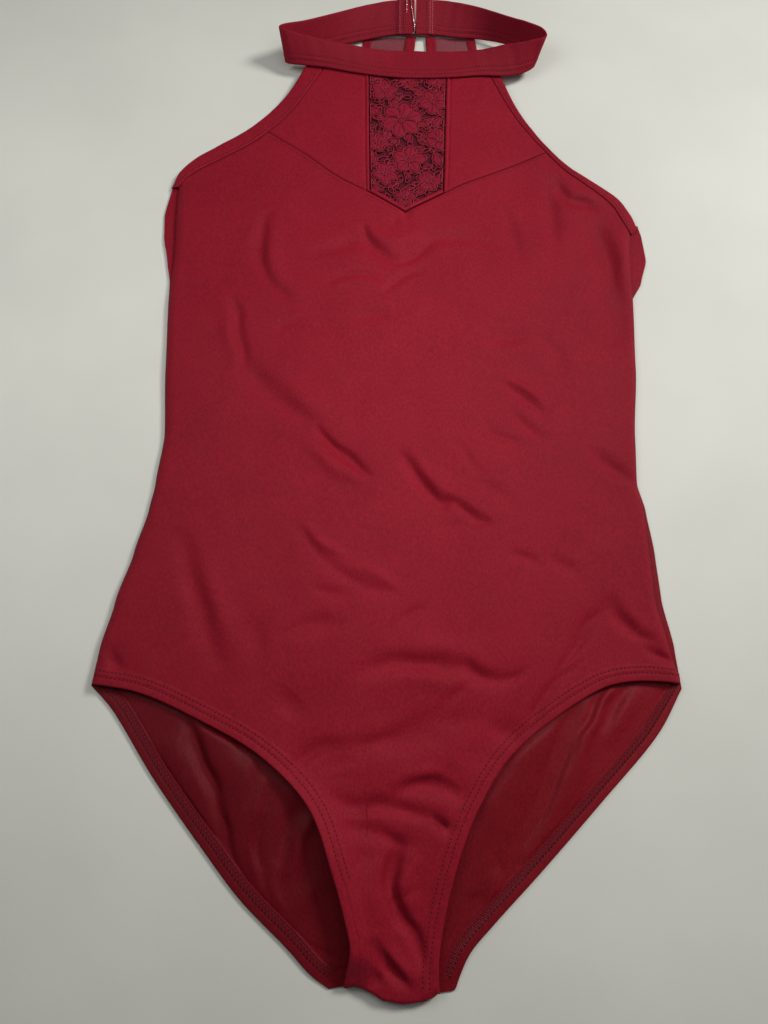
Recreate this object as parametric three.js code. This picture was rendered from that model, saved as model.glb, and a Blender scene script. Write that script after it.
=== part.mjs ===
import * as THREE from 'three';

// A halter leotard laid flat on its back, front up.
// Millimetres: +X across the garment, +Y from the crotch to the neck, +Z up from the surface.
// In the tables X is 0 near the middle of the crotch and Y is 0 at the crotch fold.

// Driving sizes
const CLOTH_WALL = 1.2;
const MESH_WALL = 1.0;
const BINDING_WALL = 1.5;
const BAND_WALL = 1.5;
const SEAM_GAP = 0.3;
const BAND_GAP = 0.45;
const BODICE_SEAM_RISE = 0.4;
const HEM_WIDTH = 10.5;
const HEM_EXTRA = 0.9;
const SIDE_ROLL = 6;
const SIDE_EDGE_HEIGHT = CLOTH_WALL + SEAM_GAP;
const HIP_EDGE_HEIGHT = CLOTH_WALL + HEM_EXTRA + SEAM_GAP + 0.1;
const ARM_EDGE_HEIGHT = BINDING_WALL + SEAM_GAP + 0.1;
const CROTCH_TOP = 6.0;
const CROTCH_ROLL = (CROTCH_TOP - SIDE_EDGE_HEIGHT) / 2;
const CROTCH_LIP = -3;
const CROTCH_INSET = 0.8;
const LEAST_CLEARANCE = 0.4;
const LEAST_ROLL = 0.4;
const STRAP_WIDTH = 6.5;
const KEYHOLE_BINDING_WIDTH = 7.5;
const STRAP_END_Y = 615;
const TAB_LENGTH = 12.5;
const TAB_EXTRA = 1.1;
const TAB_STEP = 0.03;
const LACE_RELIEF = 0.7;
const LACE_SINK = 0.3;
const PETAL_DEPTH = 0.28;
const CLASP_LENGTH = 26;
const CLASP_WIDTH = 10.5;
const CLASP_THICKNESS = 1.5;
const CLASP_FRAME = 3.4;
const CLASP_SLOT_LENGTH = 21;
const CLASP_PROUD = 3;
const CLASP_CORNER = 1.2;
const CLASP_CENTRE_X = 22.5;

// Heights on the garment between which a shape eases in or out
const NECK_RISE = { from: 530, to: 572 };
const CROTCH_CALM = { from: 4, to: 16 };
const CROTCH_SHIFT = { from: 12, to: 40 };
const STRAP_LIFT = { from: 592, to: 612 };

// Share of a fold's height at its ends, and what a back fold loses so that it starts from flat
const FOLD_END_SHARE = 0.3;
const BACK_FOLD_LOSS = 0.12;

// Rows and columns of the walls
const HEM_ROWS = [0, 2.2, 3.8, 5.2, 7, HEM_WIDTH];
const BODY_ROWS = 17;
const ROW_BUNCHING = 0.38;
const FRONT_COLUMNS = { leftLeg: 11, lip: 5, rightLeg: 10 };
const BACK_COLUMNS = { leg: 10, crotch: 6, armhole: 8, top: 10 };
const HEM_TAPER_COLUMNS = 1.5;
const BACK_ROWS = 14;
const BAND_COLUMNS = 46;
const LACE_ROWS = 26;
const LACE_CHORD_PARTS = 4;

// Colours
const CRIMSON = 0x8a1426;
const DARK_CRIMSON = 0x74101f;
const LACE_RED = 0x7c1626;
const MESH_RED = 0x8c4650;
const CLEAR_PLASTIC = 0xd9a9a9;

// Outer height of the front above the surface, by distance from the crotch
const FRONT_RISE = [
  { y: 0, top: 6.0 }, { y: 60, top: 5.8 }, { y: 155, top: 5.1 }, { y: 300, top: 4.3 },
  { y: 430, top: 4.4 }, { y: 520, top: 5.1 }, { y: 600, top: 6.0 },
];

// Side edges of the front, and of the back where it shows past the front
const SIDE_EDGES = [
  { y: 155, left: -162.5, right: 165, backLeft: -163, backRight: 165.5 },
  { y: 176, left: -160, right: 160.5, backLeft: -160.3, backRight: 164 },
  { y: 203, left: -154, right: 155.5, backLeft: -154.3, backRight: 159.5 },
  { y: 231, left: -146, right: 155, backLeft: -146.3, backRight: 158.3 },
  { y: 257, left: -139.5, right: 154, backLeft: -139.8, backRight: 155.5 },
  { y: 273, left: -137, right: 151.5, backLeft: -137.3, backRight: 152 },
  { y: 304, left: -134, right: 153, backLeft: -134.3, backRight: 153.3 },
  { y: 348, left: -137, right: 157.5, backLeft: -137.3, backRight: 157.8 },
  { y: 398, left: -139, right: 160, backLeft: -139.3, backRight: 160.3 },
  { y: 411, left: -138.5, right: 160.5, backLeft: -139.5, backRight: 167.5 },
  { y: 428, left: -138.3, right: 161, backLeft: -142.5, backRight: 172.3 },
  { y: 446, left: -138.5, right: 162.5, backLeft: -146, backRight: 171 },
  { y: 463, left: -139, right: 163.5, backLeft: -147, backRight: 167 },
  { y: 485, left: -139, right: 163.5, backLeft: -143.5, backRight: 163.5 },
];

// Leg edges, from the hip to the crotch. On the front, y of the last rows counts from the fold
// in the crotch lip.
const FRONT_LEG_LEFT = [
  { x: -162.5, y: 156 }, { x: -135, y: 151 }, { x: -101, y: 136.5 }, { x: -67, y: 118 },
  { x: -39.5, y: 92 }, { x: -26.5, y: 61 }, { x: -18, y: 31 }, { x: -17, y: 18 },
  { x: -19, y: 6 }, { x: -22, y: CROTCH_LIP },
];
const FRONT_LEG_RIGHT = [
  { x: 165, y: 156 }, { x: 149, y: 157.3 }, { x: 136, y: 157 }, { x: 122, y: 154 },
  { x: 94, y: 138 }, { x: 67, y: 116 }, { x: 50, y: 91 }, { x: 39, y: 66 },
  { x: 31, y: 38 }, { x: 27.5, y: 12 }, { x: 29, y: CROTCH_LIP },
];
const BACK_LEG_LEFT = [
  { x: -163, y: 155 }, { x: -151, y: 143 }, { x: -124, y: 105.5 }, { x: -95, y: 70 },
  { x: -75, y: 47 }, { x: -50, y: 24.5 }, { x: -37, y: 12 }, { x: -28.5, y: 6.5 },
];
const BACK_LEG_RIGHT = [
  { x: 165.5, y: 153 }, { x: 151, y: 130 }, { x: 116, y: 93.5 }, { x: 81, y: 58.5 },
  { x: 57, y: 35.5 }, { x: 44, y: 22 }, { x: 38.5, y: 12 }, { x: 36, y: 6 },
];

// Lowest line of the rolled crotch
const CROTCH_FOLD = [
  { x: -30, y: 9 }, { x: -18, y: 8.4 }, { x: -10, y: 6 }, { x: 0, y: 1.2 },
  { x: 10, y: 0 }, { x: 20, y: 1.2 }, { x: 28, y: 4.8 }, { x: 38, y: 6.5 },
];

// Armhole bindings of the front, from the underarm to the neckband: seam side and free side
const ARMHOLE_LEFT = [
  { inX: -139, inY: 484, outX: -144, outY: 484.5 }, { inX: -132, inY: 492, outX: -138.5, outY: 496 },
  { inX: -122, inY: 499.5, outX: -128, outY: 507.5 }, { inX: -108, inY: 508, outX: -113.5, outY: 517.5 },
  { inX: -93, inY: 517.5, outX: -99, outY: 527 }, { inX: -80, inY: 528.5, outX: -87.5, outY: 537 },
  { inX: -67, inY: 543, outX: -75.7, outY: 549.5 }, { inX: -55.5, inY: 559, outX: -65, outY: 565 },
  { inX: -42.5, inY: 582, outX: -56, outY: 583.8 },
];
const ARMHOLE_RIGHT = [
  { inX: 163.5, inY: 446, outX: 168.8, outY: 452 }, { inX: 158, inY: 457, outX: 164.5, outY: 461 },
  { inX: 152, inY: 469, outX: 157.5, outY: 473.5 }, { inX: 134, inY: 486.5, outX: 137.5, outY: 490.5 },
  { inX: 123, inY: 496, outX: 126, outY: 499.6 }, { inX: 110.5, inY: 511, outX: 113.5, outY: 513.8 },
  { inX: 98.5, inY: 528, outX: 102.3, outY: 530.5 }, { inX: 86, inY: 550, outX: 91, outY: 552.5 },
  { inX: 75, inY: 575.5, outX: 82.6, outY: 576.5 },
];
const LEFT_SEAM_ROW = 5;
const RIGHT_SEAM_ROW = 5;
const YOKE_START = 0.03;

// Bodice seam from armhole to armhole, and the rows where the lace starts, points and ends
const BODICE_SEAM = [
  { x: -80, y: 528.5 }, { x: -57, y: 512 }, { x: -30, y: 491 }, { x: -9.5, y: 478.8 },
  { x: 14, y: 463.5 }, { x: 40, y: 477.8 }, { x: 54, y: 485.8 }, { x: 73, y: 494.3 },
  { x: 92, y: 502.3 }, { x: 110.5, y: 511 },
];
const LACE_LEFT_ROW = 3;
const POINT_ROW = 4;
const LACE_RIGHT_ROW = 5;

// Top edge of the yokes and lace, just under the neckband
const NECKLINE = [
  { x: -42.5, y: 582 }, { x: -28, y: 580 }, { x: -11, y: 577.2 }, { x: 16, y: 575.2 },
  { x: 44.5, y: 575.2 }, { x: 60, y: 576.2 }, { x: 75, y: 575.5 },
];
const NECK_LACE_LEFT_ROW = 2;
const NECK_LACE_RIGHT_ROW = 4;

// Edges of the upper back by height: mesh edge at each strap, half width of the keyhole, its centre
const RACER_BACK = [
  { y: 500, left: -62, hole: 0.15, centre: 18, right: 88 },
  { y: 520, left: -44, hole: 8, centre: 20, right: 79 },
  { y: 545, left: -29, hole: 12.5, centre: 22, right: 72.5 },
  { y: 575, left: -17, hole: 9, centre: 24.5, right: 66 },
  { y: 600, left: -10, hole: 4.5, centre: 26, right: 61 },
  { y: 615, left: -8.5, hole: 3.5, centre: 26.6, right: 59.5 },
];

// Back armholes below the mesh, from the underarm to the first row of the upper back
const BACK_ARMHOLE_LEFT = [
  { x: -143.5, y: 485 }, { x: -122, y: 478 }, { x: -96, y: 480 }, { x: -62, y: 500 },
];
const BACK_ARMHOLE_RIGHT = [
  { x: 169.3, y: 453 }, { x: 145, y: 455 }, { x: 114, y: 470 }, { x: 88, y: 500 },
];

// Neckband by section from the left tab round the front to the right tab: lower and upper edge
const NECKBAND = [
  { footX: 20.5, footY: 614.8, footZ: 3.6, topX: 20.5, topY: 635.5, topZ: 14 },
  { footX: 6, footY: 614.8, footZ: 3.5, topX: 6, topY: 635.2, topZ: 14 },
  { footX: -14, footY: 613.5, footZ: 2.7, topX: -14, topY: 630, topZ: 14.5 },
  { footX: -36, footY: 609.5, footZ: 2.7, topX: -34, topY: 620.5, topZ: 17 },
  { footX: -56, footY: 601, footZ: 3.4, topX: -56, topY: 609.5, topZ: 20.5 },
  { footX: -67.5, footY: 593, footZ: 4.8, topX: -70, topY: 604.5, topZ: 23.8 },
  { footX: -70.5, footY: 588, footZ: 6.2, topX: -73.5, topY: 600.8, topZ: 24.5 },
  { footX: -67.5, footY: 583.3, footZ: 7.6, topX: -70, topY: 597.2, topZ: 23.8 },
  { footX: -56, footY: 582.3, footZ: 8.3, topX: -57, topY: 596, topZ: 21 },
  { footX: -40, footY: 580.5, footZ: 8.1, topX: -39, topY: 594.8, topZ: 16.5 },
  { footX: -22, footY: 577, footZ: 7.7, topX: -20, topY: 593.5, topZ: 13 },
  { footX: -2, footY: 574, footZ: 7.4, topX: -2, topY: 594, topZ: 10.5 },
  { footX: 18, footY: 572.5, footZ: 7.2, topX: 18, topY: 594, topZ: 9.5 },
  { footX: 47, footY: 573, footZ: 7.2, topX: 47, topY: 593.5, topZ: 9.5 },
  { footX: 68, footY: 574.5, footZ: 7.3, topX: 67, topY: 592, topZ: 12.5 },
  { footX: 86, footY: 574, footZ: 7.4, topX: 85, topY: 592, topZ: 17 },
  { footX: 98, footY: 576.3, footZ: 7.6, topX: 101, topY: 590.5, topZ: 21.5 },
  { footX: 105.5, footY: 582, footZ: 7.8, topX: 112, topY: 592.5, topZ: 24 },
  { footX: 105, footY: 588.5, footZ: 6.8, topX: 110.5, topY: 598, topZ: 24 },
  { footX: 98.5, footY: 597, footZ: 5.2, topX: 102, topY: 604.5, topZ: 23 },
  { footX: 88, footY: 606, footZ: 3.8, topX: 88, topY: 613, topZ: 20.5 },
  { footX: 66, footY: 612.3, footZ: 2.7, topX: 67, topY: 627, topZ: 16 },
  { footX: 52, footY: 613.5, footZ: 2.7, topX: 52, topY: 633, topZ: 14.4 },
  { footX: 38, footY: 614.8, footZ: 3.5, topX: 38, topY: 635.6, topZ: 14 },
  { footX: 24.5, footY: 614.8, footZ: 3.6, topX: 24.5, topY: 635.8, topZ: 14 },
];

// Largest folds of the front: a line with a sideways bow, half width and height
const FRONT_FOLDS = [
  { x0: -80, y0: 463, x1: -75, y1: 415, bow: -4.5, wide: 7, high: -1.2 },
  { x0: -68, y0: 462, x1: -62, y1: 420, bow: -4, wide: 8, high: 0.9 },
  { x0: -98, y0: 400, x1: -92, y1: 365, bow: -1, wide: 6, high: -1 },
  { x0: -17, y0: 447, x1: 32, y1: 446, bow: -17, wide: 5.5, high: -1.3 },
  { x0: -14, y0: 434, x1: 30, y1: 434, bow: -17, wide: 6, high: 0.9 },
  { x0: 77, y0: 461, x1: 83, y1: 434, bow: 0, wide: 9, high: -1 },
  { x0: 134, y0: 461, x1: 135, y1: 427, bow: 0, wide: 10, high: -1.2 },
  { x0: -68, y0: 382, x1: -8, y1: 390, bow: 2, wide: 5.5, high: -0.9 },
  { x0: -44, y0: 311, x1: -8, y1: 278, bow: 0, wide: 6, high: -1.2 },
  { x0: -34, y0: 318, x1: 2, y1: 286, bow: 0, wide: 6, high: 1 },
  { x0: 8, y0: 293, x1: 57, y1: 252, bow: -7, wide: 6, high: -1.3 },
  { x0: 18, y0: 300, x1: 66, y1: 260, bow: -7, wide: 7, high: 1.2 },
  { x0: 73, y0: 345, x1: 94, y1: 325, bow: 0, wide: 5, high: -0.9 },
  { x0: -55, y0: 248, x1: -4, y1: 215, bow: -2, wide: 6, high: -1.1 },
  { x0: 87, y0: 234, x1: 107, y1: 223, bow: 0, wide: 5, high: -0.8 },
  { x0: 122, y0: 205, x1: 150, y1: 176, bow: 2, wide: 7, high: 1.1 },
  { x0: -116, y0: 242, x1: -96, y1: 175, bow: 1, wide: 9, high: -1 },
  { x0: 14, y0: 167, x1: 73, y1: 162, bow: -5, wide: 6, high: -1.1 },
  { x0: 16, y0: 178, x1: 78, y1: 172, bow: -5, wide: 7, high: 1 },
  { x0: 84, y0: 146, x1: 109, y1: 173, bow: -3, wide: 6, high: -1.1 },
  { x0: -48, y0: 116, x1: -21, y1: 124, bow: 0, wide: 5, high: -1 },
  { x0: -28, y0: 96, x1: 32, y1: 84, bow: 2, wide: 4.5, high: -1.5 },
  { x0: -24, y0: 104, x1: 34, y1: 94, bow: 2, wide: 5, high: 1.1 },
  { x0: -21, y0: 81, x1: 10, y1: 75, bow: 1, wide: 4, high: -1.4 },
  { x0: 4, y0: 57, x1: 19, y1: 24, bow: -2.5, wide: 4.5, high: -1.6 },
  { x0: -4, y0: 54, x1: 8, y1: 22, bow: -2.5, wide: 5, high: 0.9 },
];

// Ridges of the back that show in the leg openings
const BACK_FOLDS = [
  { x0: -118, y0: 122, x1: -94, y1: 86, bow: 2, wide: 5.5, high: 1.7 },
  { x0: -93, y0: 116, x1: -77, y1: 74, bow: 3, wide: 6, high: 1.9 },
  { x0: -66, y0: 96, x1: -61, y1: 58, bow: -2, wide: 5.5, high: 1.8 },
  { x0: -46, y0: 66, x1: -44, y1: 42, bow: 1, wide: 5, high: 1.4 },
  { x0: 136, y0: 136, x1: 121, y1: 118, bow: 1, wide: 5, high: 1.3 },
  { x0: 112, y0: 128, x1: 83, y1: 78, bow: -3, wide: 8, high: 1.8 },
  { x0: 76, y0: 96, x1: 62, y1: 62, bow: -2, wide: 6, high: 1.6 },
];

// Raised sprigs of the lace: flowers with petals, and leaves along a direction in degrees
const LACE_FLOWERS = [
  { x: 4, y: 520, radius: 8.5, petals: 5, turn: 10 }, { x: 29, y: 540, radius: 7.5, petals: 5, turn: 40 },
  { x: 15, y: 489, radius: 7, petals: 5, turn: 90 }, { x: 8, y: 557, radius: 7, petals: 5, turn: 70 },
  { x: 31, y: 507, radius: 6.5, petals: 5, turn: 20 },
];
const LACE_LEAVES = [
  { x: -3, y: 540, long: 9, wide: 3.6, turn: 60 }, { x: 18, y: 506, long: 8, wide: 3.4, turn: 135 },
  { x: 34, y: 562, long: 8, wide: 3.4, turn: 20 }, { x: 17, y: 549, long: 8, wide: 3.4, turn: 100 },
  { x: -4, y: 500, long: 7.5, wide: 3.2, turn: 110 }, { x: 33, y: 489, long: 7, wide: 3, turn: 50 },
  { x: 21, y: 530, long: 8, wide: 3.2, turn: 15 }, { x: 36, y: 524, long: 7, wide: 3, turn: 100 },
];

const garment = new THREE.Group();

function clamp(value, low, high) {
  return Math.min(Math.max(value, low), high);
}

function smoothStep(value, from, to) {
  const t = clamp((value - from) / (to - from), 0, 1);
  return t * t * (3 - 2 * t);
}

// Share of an eased reading between two rows of a table
const EASE_SHARE = 0.4;

// Reading of one column of a table by another, part straight and part eased
function readTable(rows, key, at, value) {
  if (at <= rows[0][key]) return rows[0][value];
  for (let i = 1; i < rows.length; i += 1) {
    const before = rows[i - 1];
    const after = rows[i];
    if (at <= after[key]) {
      const straight = (at - before[key]) / (after[key] - before[key]);
      const t = straight + (smoothStep(straight, 0, 1) - straight) * EASE_SHARE;
      return before[value] + t * (after[value] - before[value]);
    }
  }
  return rows[rows.length - 1][value];
}

// Smooth curve through the rows of a table, read by row number
function rowCurve(rows, xKey = 'x', yKey = 'y', zKey = 'z') {
  const points = rows.map((row) => new THREE.Vector3(row[xKey], row[yKey], row[zKey] ?? 0));
  const curve = new THREE.CatmullRomCurve3(points, false, 'centripetal');
  return (row) => curve.getPoint(clamp(row / (rows.length - 1), 0, 1));
}

// Evenly spaced row numbers between two rows
function stations(from, to, count) {
  return Array.from({ length: count + 1 }, (_, i) => from + (to - from) * i / count);
}

// Points spread evenly by length over a curve through table rows
function evenPoints(rows, count) {
  const points = rows.map((row) => new THREE.Vector3(row.x, row.y, 0));
  const curve = new THREE.CatmullRomCurve3(points, false, 'centripetal');
  return stations(0, 1, count).map((t) => curve.getPointAt(t));
}

function foldHeight(folds, x, y) {
  let height = 0;
  for (const fold of folds) {
    const dx = fold.x1 - fold.x0;
    const dy = fold.y1 - fold.y0;
    const length = Math.hypot(dx, dy);
    const along = ((x - fold.x0) * dx + (y - fold.y0) * dy) / (length * length);
    const across = ((y - fold.y0) * dx - (x - fold.x0) * dy) / length;
    const inside = clamp(along, 0, 1);
    const past = (along - inside) * length;
    const off = across - fold.bow * 4 * inside * (1 - inside);
    const swell = FOLD_END_SHARE + (1 - FOLD_END_SHARE) * Math.sin(Math.PI * inside);
    height += fold.high * swell * Math.exp(-(off * off + past * past) / (fold.wide * fold.wide));
  }
  return height;
}

// Rows of the neckband over the yokes and over the straps, from left to right
const BAND_FRONT_ROWS = { from: 7, to: 18 };
const BAND_BACK_LEFT_ROWS = 5;
const BAND_BACK_RIGHT_ROW = 20;
const frontBand = NECKBAND.slice(BAND_FRONT_ROWS.from, BAND_FRONT_ROWS.to);
const backBandLeft = NECKBAND.slice(0, BAND_BACK_LEFT_ROWS).reverse();
const backBandRight = NECKBAND.slice(BAND_BACK_RIGHT_ROW).reverse();
const backBand = [...backBandLeft, ...backBandRight];

// Height of the front's outer face: it rises to just under the neckband
function frontHeight(x, y) {
  const rise = readTable(FRONT_RISE, 'y', y, 'top');
  const bandFloor = readTable(frontBand, 'footX', x, 'footZ') - BAND_WALL / 2 - BAND_GAP;
  const neck = smoothStep(y, NECK_RISE.from, NECK_RISE.to);
  const calm = smoothStep(y, CROTCH_CALM.from, CROTCH_CALM.to) * (1 - neck);
  const level = rise + (bandFloor - rise) * neck + foldHeight(FRONT_FOLDS, x, y) * calm;
  return Math.max(level, 2 * CLOTH_WALL + LEAST_CLEARANCE);
}

// Closed wall from a grid of points on its upper face and one on its lower face
function shell(columns, rows, upperAt, lowerAt) {
  const positions = [];
  const index = [];
  for (const pointAt of [upperAt, lowerAt]) {
    for (let j = 0; j <= rows; j += 1) {
      for (let i = 0; i <= columns; i += 1) {
        const p = pointAt(i, j);
        positions.push(p.x, p.y, p.z);
      }
    }
  }
  const layer = (columns + 1) * (rows + 1);
  const up = (i, j) => j * (columns + 1) + i;
  const low = (i, j) => layer + up(i, j);
  const quad = (a, b, c, d) => index.push(a, b, c, a, c, d);
  for (let j = 0; j < rows; j += 1) {
    for (let i = 0; i < columns; i += 1) {
      quad(up(i, j), up(i + 1, j), up(i + 1, j + 1), up(i, j + 1));
      quad(low(i, j + 1), low(i + 1, j + 1), low(i + 1, j), low(i, j));
    }
  }
  for (let i = 0; i < columns; i += 1) {
    quad(low(i, 0), low(i + 1, 0), up(i + 1, 0), up(i, 0));
    quad(up(i, rows), up(i + 1, rows), low(i + 1, rows), low(i, rows));
  }
  for (let j = 0; j < rows; j += 1) {
    quad(up(0, j), up(0, j + 1), low(0, j + 1), low(0, j));
    quad(low(columns, j), low(columns, j + 1), up(columns, j + 1), up(columns, j));
  }
  const geometry = new THREE.BufferGeometry();
  geometry.setAttribute('position', new THREE.Float32BufferAttribute(positions, 3));
  geometry.setIndex(index);
  geometry.computeVertexNormals();
  return geometry;
}

function addPiece(name, geometry, color, roughness = 0.62) {
  const material = new THREE.MeshStandardMaterial({ color, roughness, metalness: 0 });
  const mesh = new THREE.Mesh(geometry, material);
  mesh.name = name;
  garment.add(mesh);
  return mesh;
}

// Body panels: columns run from the leg edge, square to it across the hem, up to the top edge

function edgeNormals(points, firstDirection, lastDirection) {
  return points.map((point, i) => {
    if (i === 0) return firstDirection.clone().normalize();
    if (i === points.length - 1) return lastDirection.clone().normalize();
    const along = points[i + 1].clone().sub(points[i - 1]);
    return new THREE.Vector3(-along.y, along.x, 0).normalize();
  });
}

// The front's side edges rest on the back, on its hems at the hips and its bindings at the arms
const SIDE_REST = [
  { y: 170, z: HIP_EDGE_HEIGHT }, { y: 190, z: SIDE_EDGE_HEIGHT },
  { y: 425, z: SIDE_EDGE_HEIGHT }, { y: 445, z: ARM_EDGE_HEIGHT },
];

// Grid of flat points, with the side edges bent to their table
function bodyGrid(bottom, top, leftKey, rightKey) {
  const sideX = (y, key) => readTable(SIDE_EDGES, 'y', y, key);
  const last = bottom.length - 1;
  const sideStep = (point, key) => new THREE.Vector3(sideX(point.y + HEM_WIDTH, key) - point.x, HEM_WIDTH, 0);
  const normals = edgeNormals(bottom, sideStep(bottom[0], leftKey), sideStep(bottom[last], rightKey));
  const hemLine = bottom.map((point, i) => point.clone().addScaledVector(normals[i], HEM_WIDTH));
  const bend = (point, from, to, key) => {
    const t = clamp((point.y - from.y) / (to.y - from.y), 0, 1);
    const fromSide = sideX(from.y, key);
    const straight = fromSide + (sideX(to.y, key) - fromSide) * t;
    return sideX(clamp(point.y, from.y, to.y), key) - straight;
  };
  return (column, row) => {
    if (row < HEM_ROWS.length) return bottom[column].clone().addScaledVector(normals[column], HEM_ROWS[row]);
    const t = (row - HEM_ROWS.length + 1) / BODY_ROWS;
    const share = (1 - ROW_BUNCHING) * t + ROW_BUNCHING * t * t;
    const point = hemLine[column].clone().lerp(top[column], share);
    const across = column / last;
    const left = bend(point, hemLine[0], top[0], leftKey) * (1 - across) ** 3;
    const right = bend(point, hemLine[last], top[last], rightKey) * across ** 3;
    point.x += left + right;
    return point;
  };
}

// Column positions, with extra ones close to the side edges for their roll
function rolledColumns(columnCount, firstGap, lastGap) {
  const insets = [30, 60, 90].map((degrees) => SIDE_ROLL * (1 - Math.cos(THREE.MathUtils.degToRad(degrees))));
  return [
    0, ...insets.map((inset) => inset / firstGap),
    ...stations(1, columnCount - 1, columnCount - 2),
    ...insets.reverse().map((inset) => columnCount - inset / lastGap), columnCount,
  ];
}

function betweenColumns(grid, position, row, columnCount) {
  const column = Math.min(Math.floor(position), columnCount - 1);
  return grid(column, row).lerp(grid(column + 1, row), position - column);
}

// Armhole and bodice curves shared by the panels that meet there
const armholeLeftIn = rowCurve(ARMHOLE_LEFT, 'inX', 'inY');
const armholeLeftOut = rowCurve(ARMHOLE_LEFT, 'outX', 'outY');
const armholeRightIn = rowCurve(ARMHOLE_RIGHT, 'inX', 'inY');
const armholeRightOut = rowCurve(ARMHOLE_RIGHT, 'outX', 'outY');
const bodiceLeft = rowCurve(BODICE_SEAM.slice(0, POINT_ROW + 1));
const bodiceRight = rowCurve(BODICE_SEAM.slice(POINT_ROW));
const neckline = rowCurve(NECKLINE);
const BODY_LEFT_STATIONS = stations(0, LEFT_SEAM_ROW, 6);
const BODY_RIGHT_STATIONS = stations(0, RIGHT_SEAM_ROW, 7);
const YOKE_LEFT_STATIONS = stations(LEFT_SEAM_ROW + YOKE_START, ARMHOLE_LEFT.length - 1, 5);
const YOKE_RIGHT_STATIONS = stations(RIGHT_SEAM_ROW + YOKE_START, ARMHOLE_RIGHT.length - 1, 5);
const SEAM_LEFT_STATIONS = stations(0, LACE_LEFT_ROW, 5);
const SEAM_RIGHT_STATIONS = stations(LACE_RIGHT_ROW - POINT_ROW, BODICE_SEAM.length - 1 - POINT_ROW, 4);
const LACE_LEFT_STATIONS = stations(LACE_LEFT_ROW, POINT_ROW, 2);
const LACE_RIGHT_STATIONS = stations(0, LACE_RIGHT_ROW - POINT_ROW, 2);

function frontBody() {
  const leftLeg = evenPoints(FRONT_LEG_LEFT, FRONT_COLUMNS.leftLeg);
  const rightLeg = evenPoints(FRONT_LEG_RIGHT, FRONT_COLUMNS.rightLeg).reverse();
  const lip = stations(0, 1, FRONT_COLUMNS.lip).map((t) => leftLeg.at(-1).clone().lerp(rightLeg[0], t));
  const bottom = [...leftLeg, ...lip.slice(1, -1), ...rightLeg];
  const top = [
    ...BODY_LEFT_STATIONS.map(armholeLeftIn),
    ...SEAM_LEFT_STATIONS.slice(1).map(bodiceLeft),
    ...LACE_LEFT_STATIONS.slice(1).map(bodiceLeft),
    ...LACE_RIGHT_STATIONS.slice(1).map(bodiceRight),
    ...SEAM_RIGHT_STATIONS.slice(1).map(bodiceRight),
    ...[...BODY_RIGHT_STATIONS].reverse().slice(1).map(armholeRightIn),
  ];
  const count = bottom.length - 1;
  const grid = bodyGrid(bottom, top, 'left', 'right');
  const positions = rolledColumns(count, 15, 15);
  const rows = HEM_ROWS.length - 1 + BODY_ROWS;

  const place = (i, row, isUpper) => {
    const flat = betweenColumns(grid, positions[i], row, count);
    const isHem = row < HEM_ROWS.length;
    const wall = isHem ? CLOTH_WALL + HEM_EXTRA : CLOTH_WALL;
    const fold = readTable(CROTCH_FOLD, 'x', flat.x, 'y');
    const isCrotch = flat.y < CROTCH_SHIFT.to;
    const station = isCrotch ? flat.y : flat.y - fold;
    if (isCrotch && station < CROTCH_ROLL) {
      const angle = Math.PI / 2 * clamp(station / CROTCH_ROLL, -1, 1);
      const radius = isUpper ? CROTCH_ROLL : CROTCH_ROLL - Math.min(wall, CROTCH_ROLL - LEAST_ROLL);
      const past = Math.max(0, -station - CROTCH_ROLL);
      return new THREE.Vector3(
        flat.x,
        fold + CROTCH_ROLL - radius * Math.cos(angle) + past,
        SIDE_EDGE_HEIGHT + CROTCH_ROLL + radius * Math.sin(angle),
      );
    }
    const foldShare = 1 - smoothStep(flat.y, CROTCH_SHIFT.from, CROTCH_SHIFT.to);
    flat.y += fold * foldShare;
    const high = frontHeight(flat.x, flat.y);
    const edgeHeight = readTable(SIDE_REST, 'y', flat.y, 'z');
    const leftInset = flat.x - betweenColumns(grid, 0, row, count).x;
    const rightInset = betweenColumns(grid, count, row, count).x - flat.x;
    const leftCos = clamp(1 - leftInset / SIDE_ROLL, 0, 1);
    const rightCos = clamp(1 - rightInset / SIDE_ROLL, 0, 1);
    const cosine = Math.max(leftCos, rightCos);
    const sine = Math.sqrt(1 - cosine * cosine);
    if (isUpper) return new THREE.Vector3(flat.x, flat.y, edgeHeight + (high - edgeHeight) * sine);
    const inward = CLOTH_WALL * (leftCos - rightCos);
    return new THREE.Vector3(flat.x + inward, flat.y, edgeHeight + (high - wall - edgeHeight) * sine);
  };
  return shell(positions.length - 1, rows, (i, j) => place(i, j, true), (i, j) => place(i, j, false));
}

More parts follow.
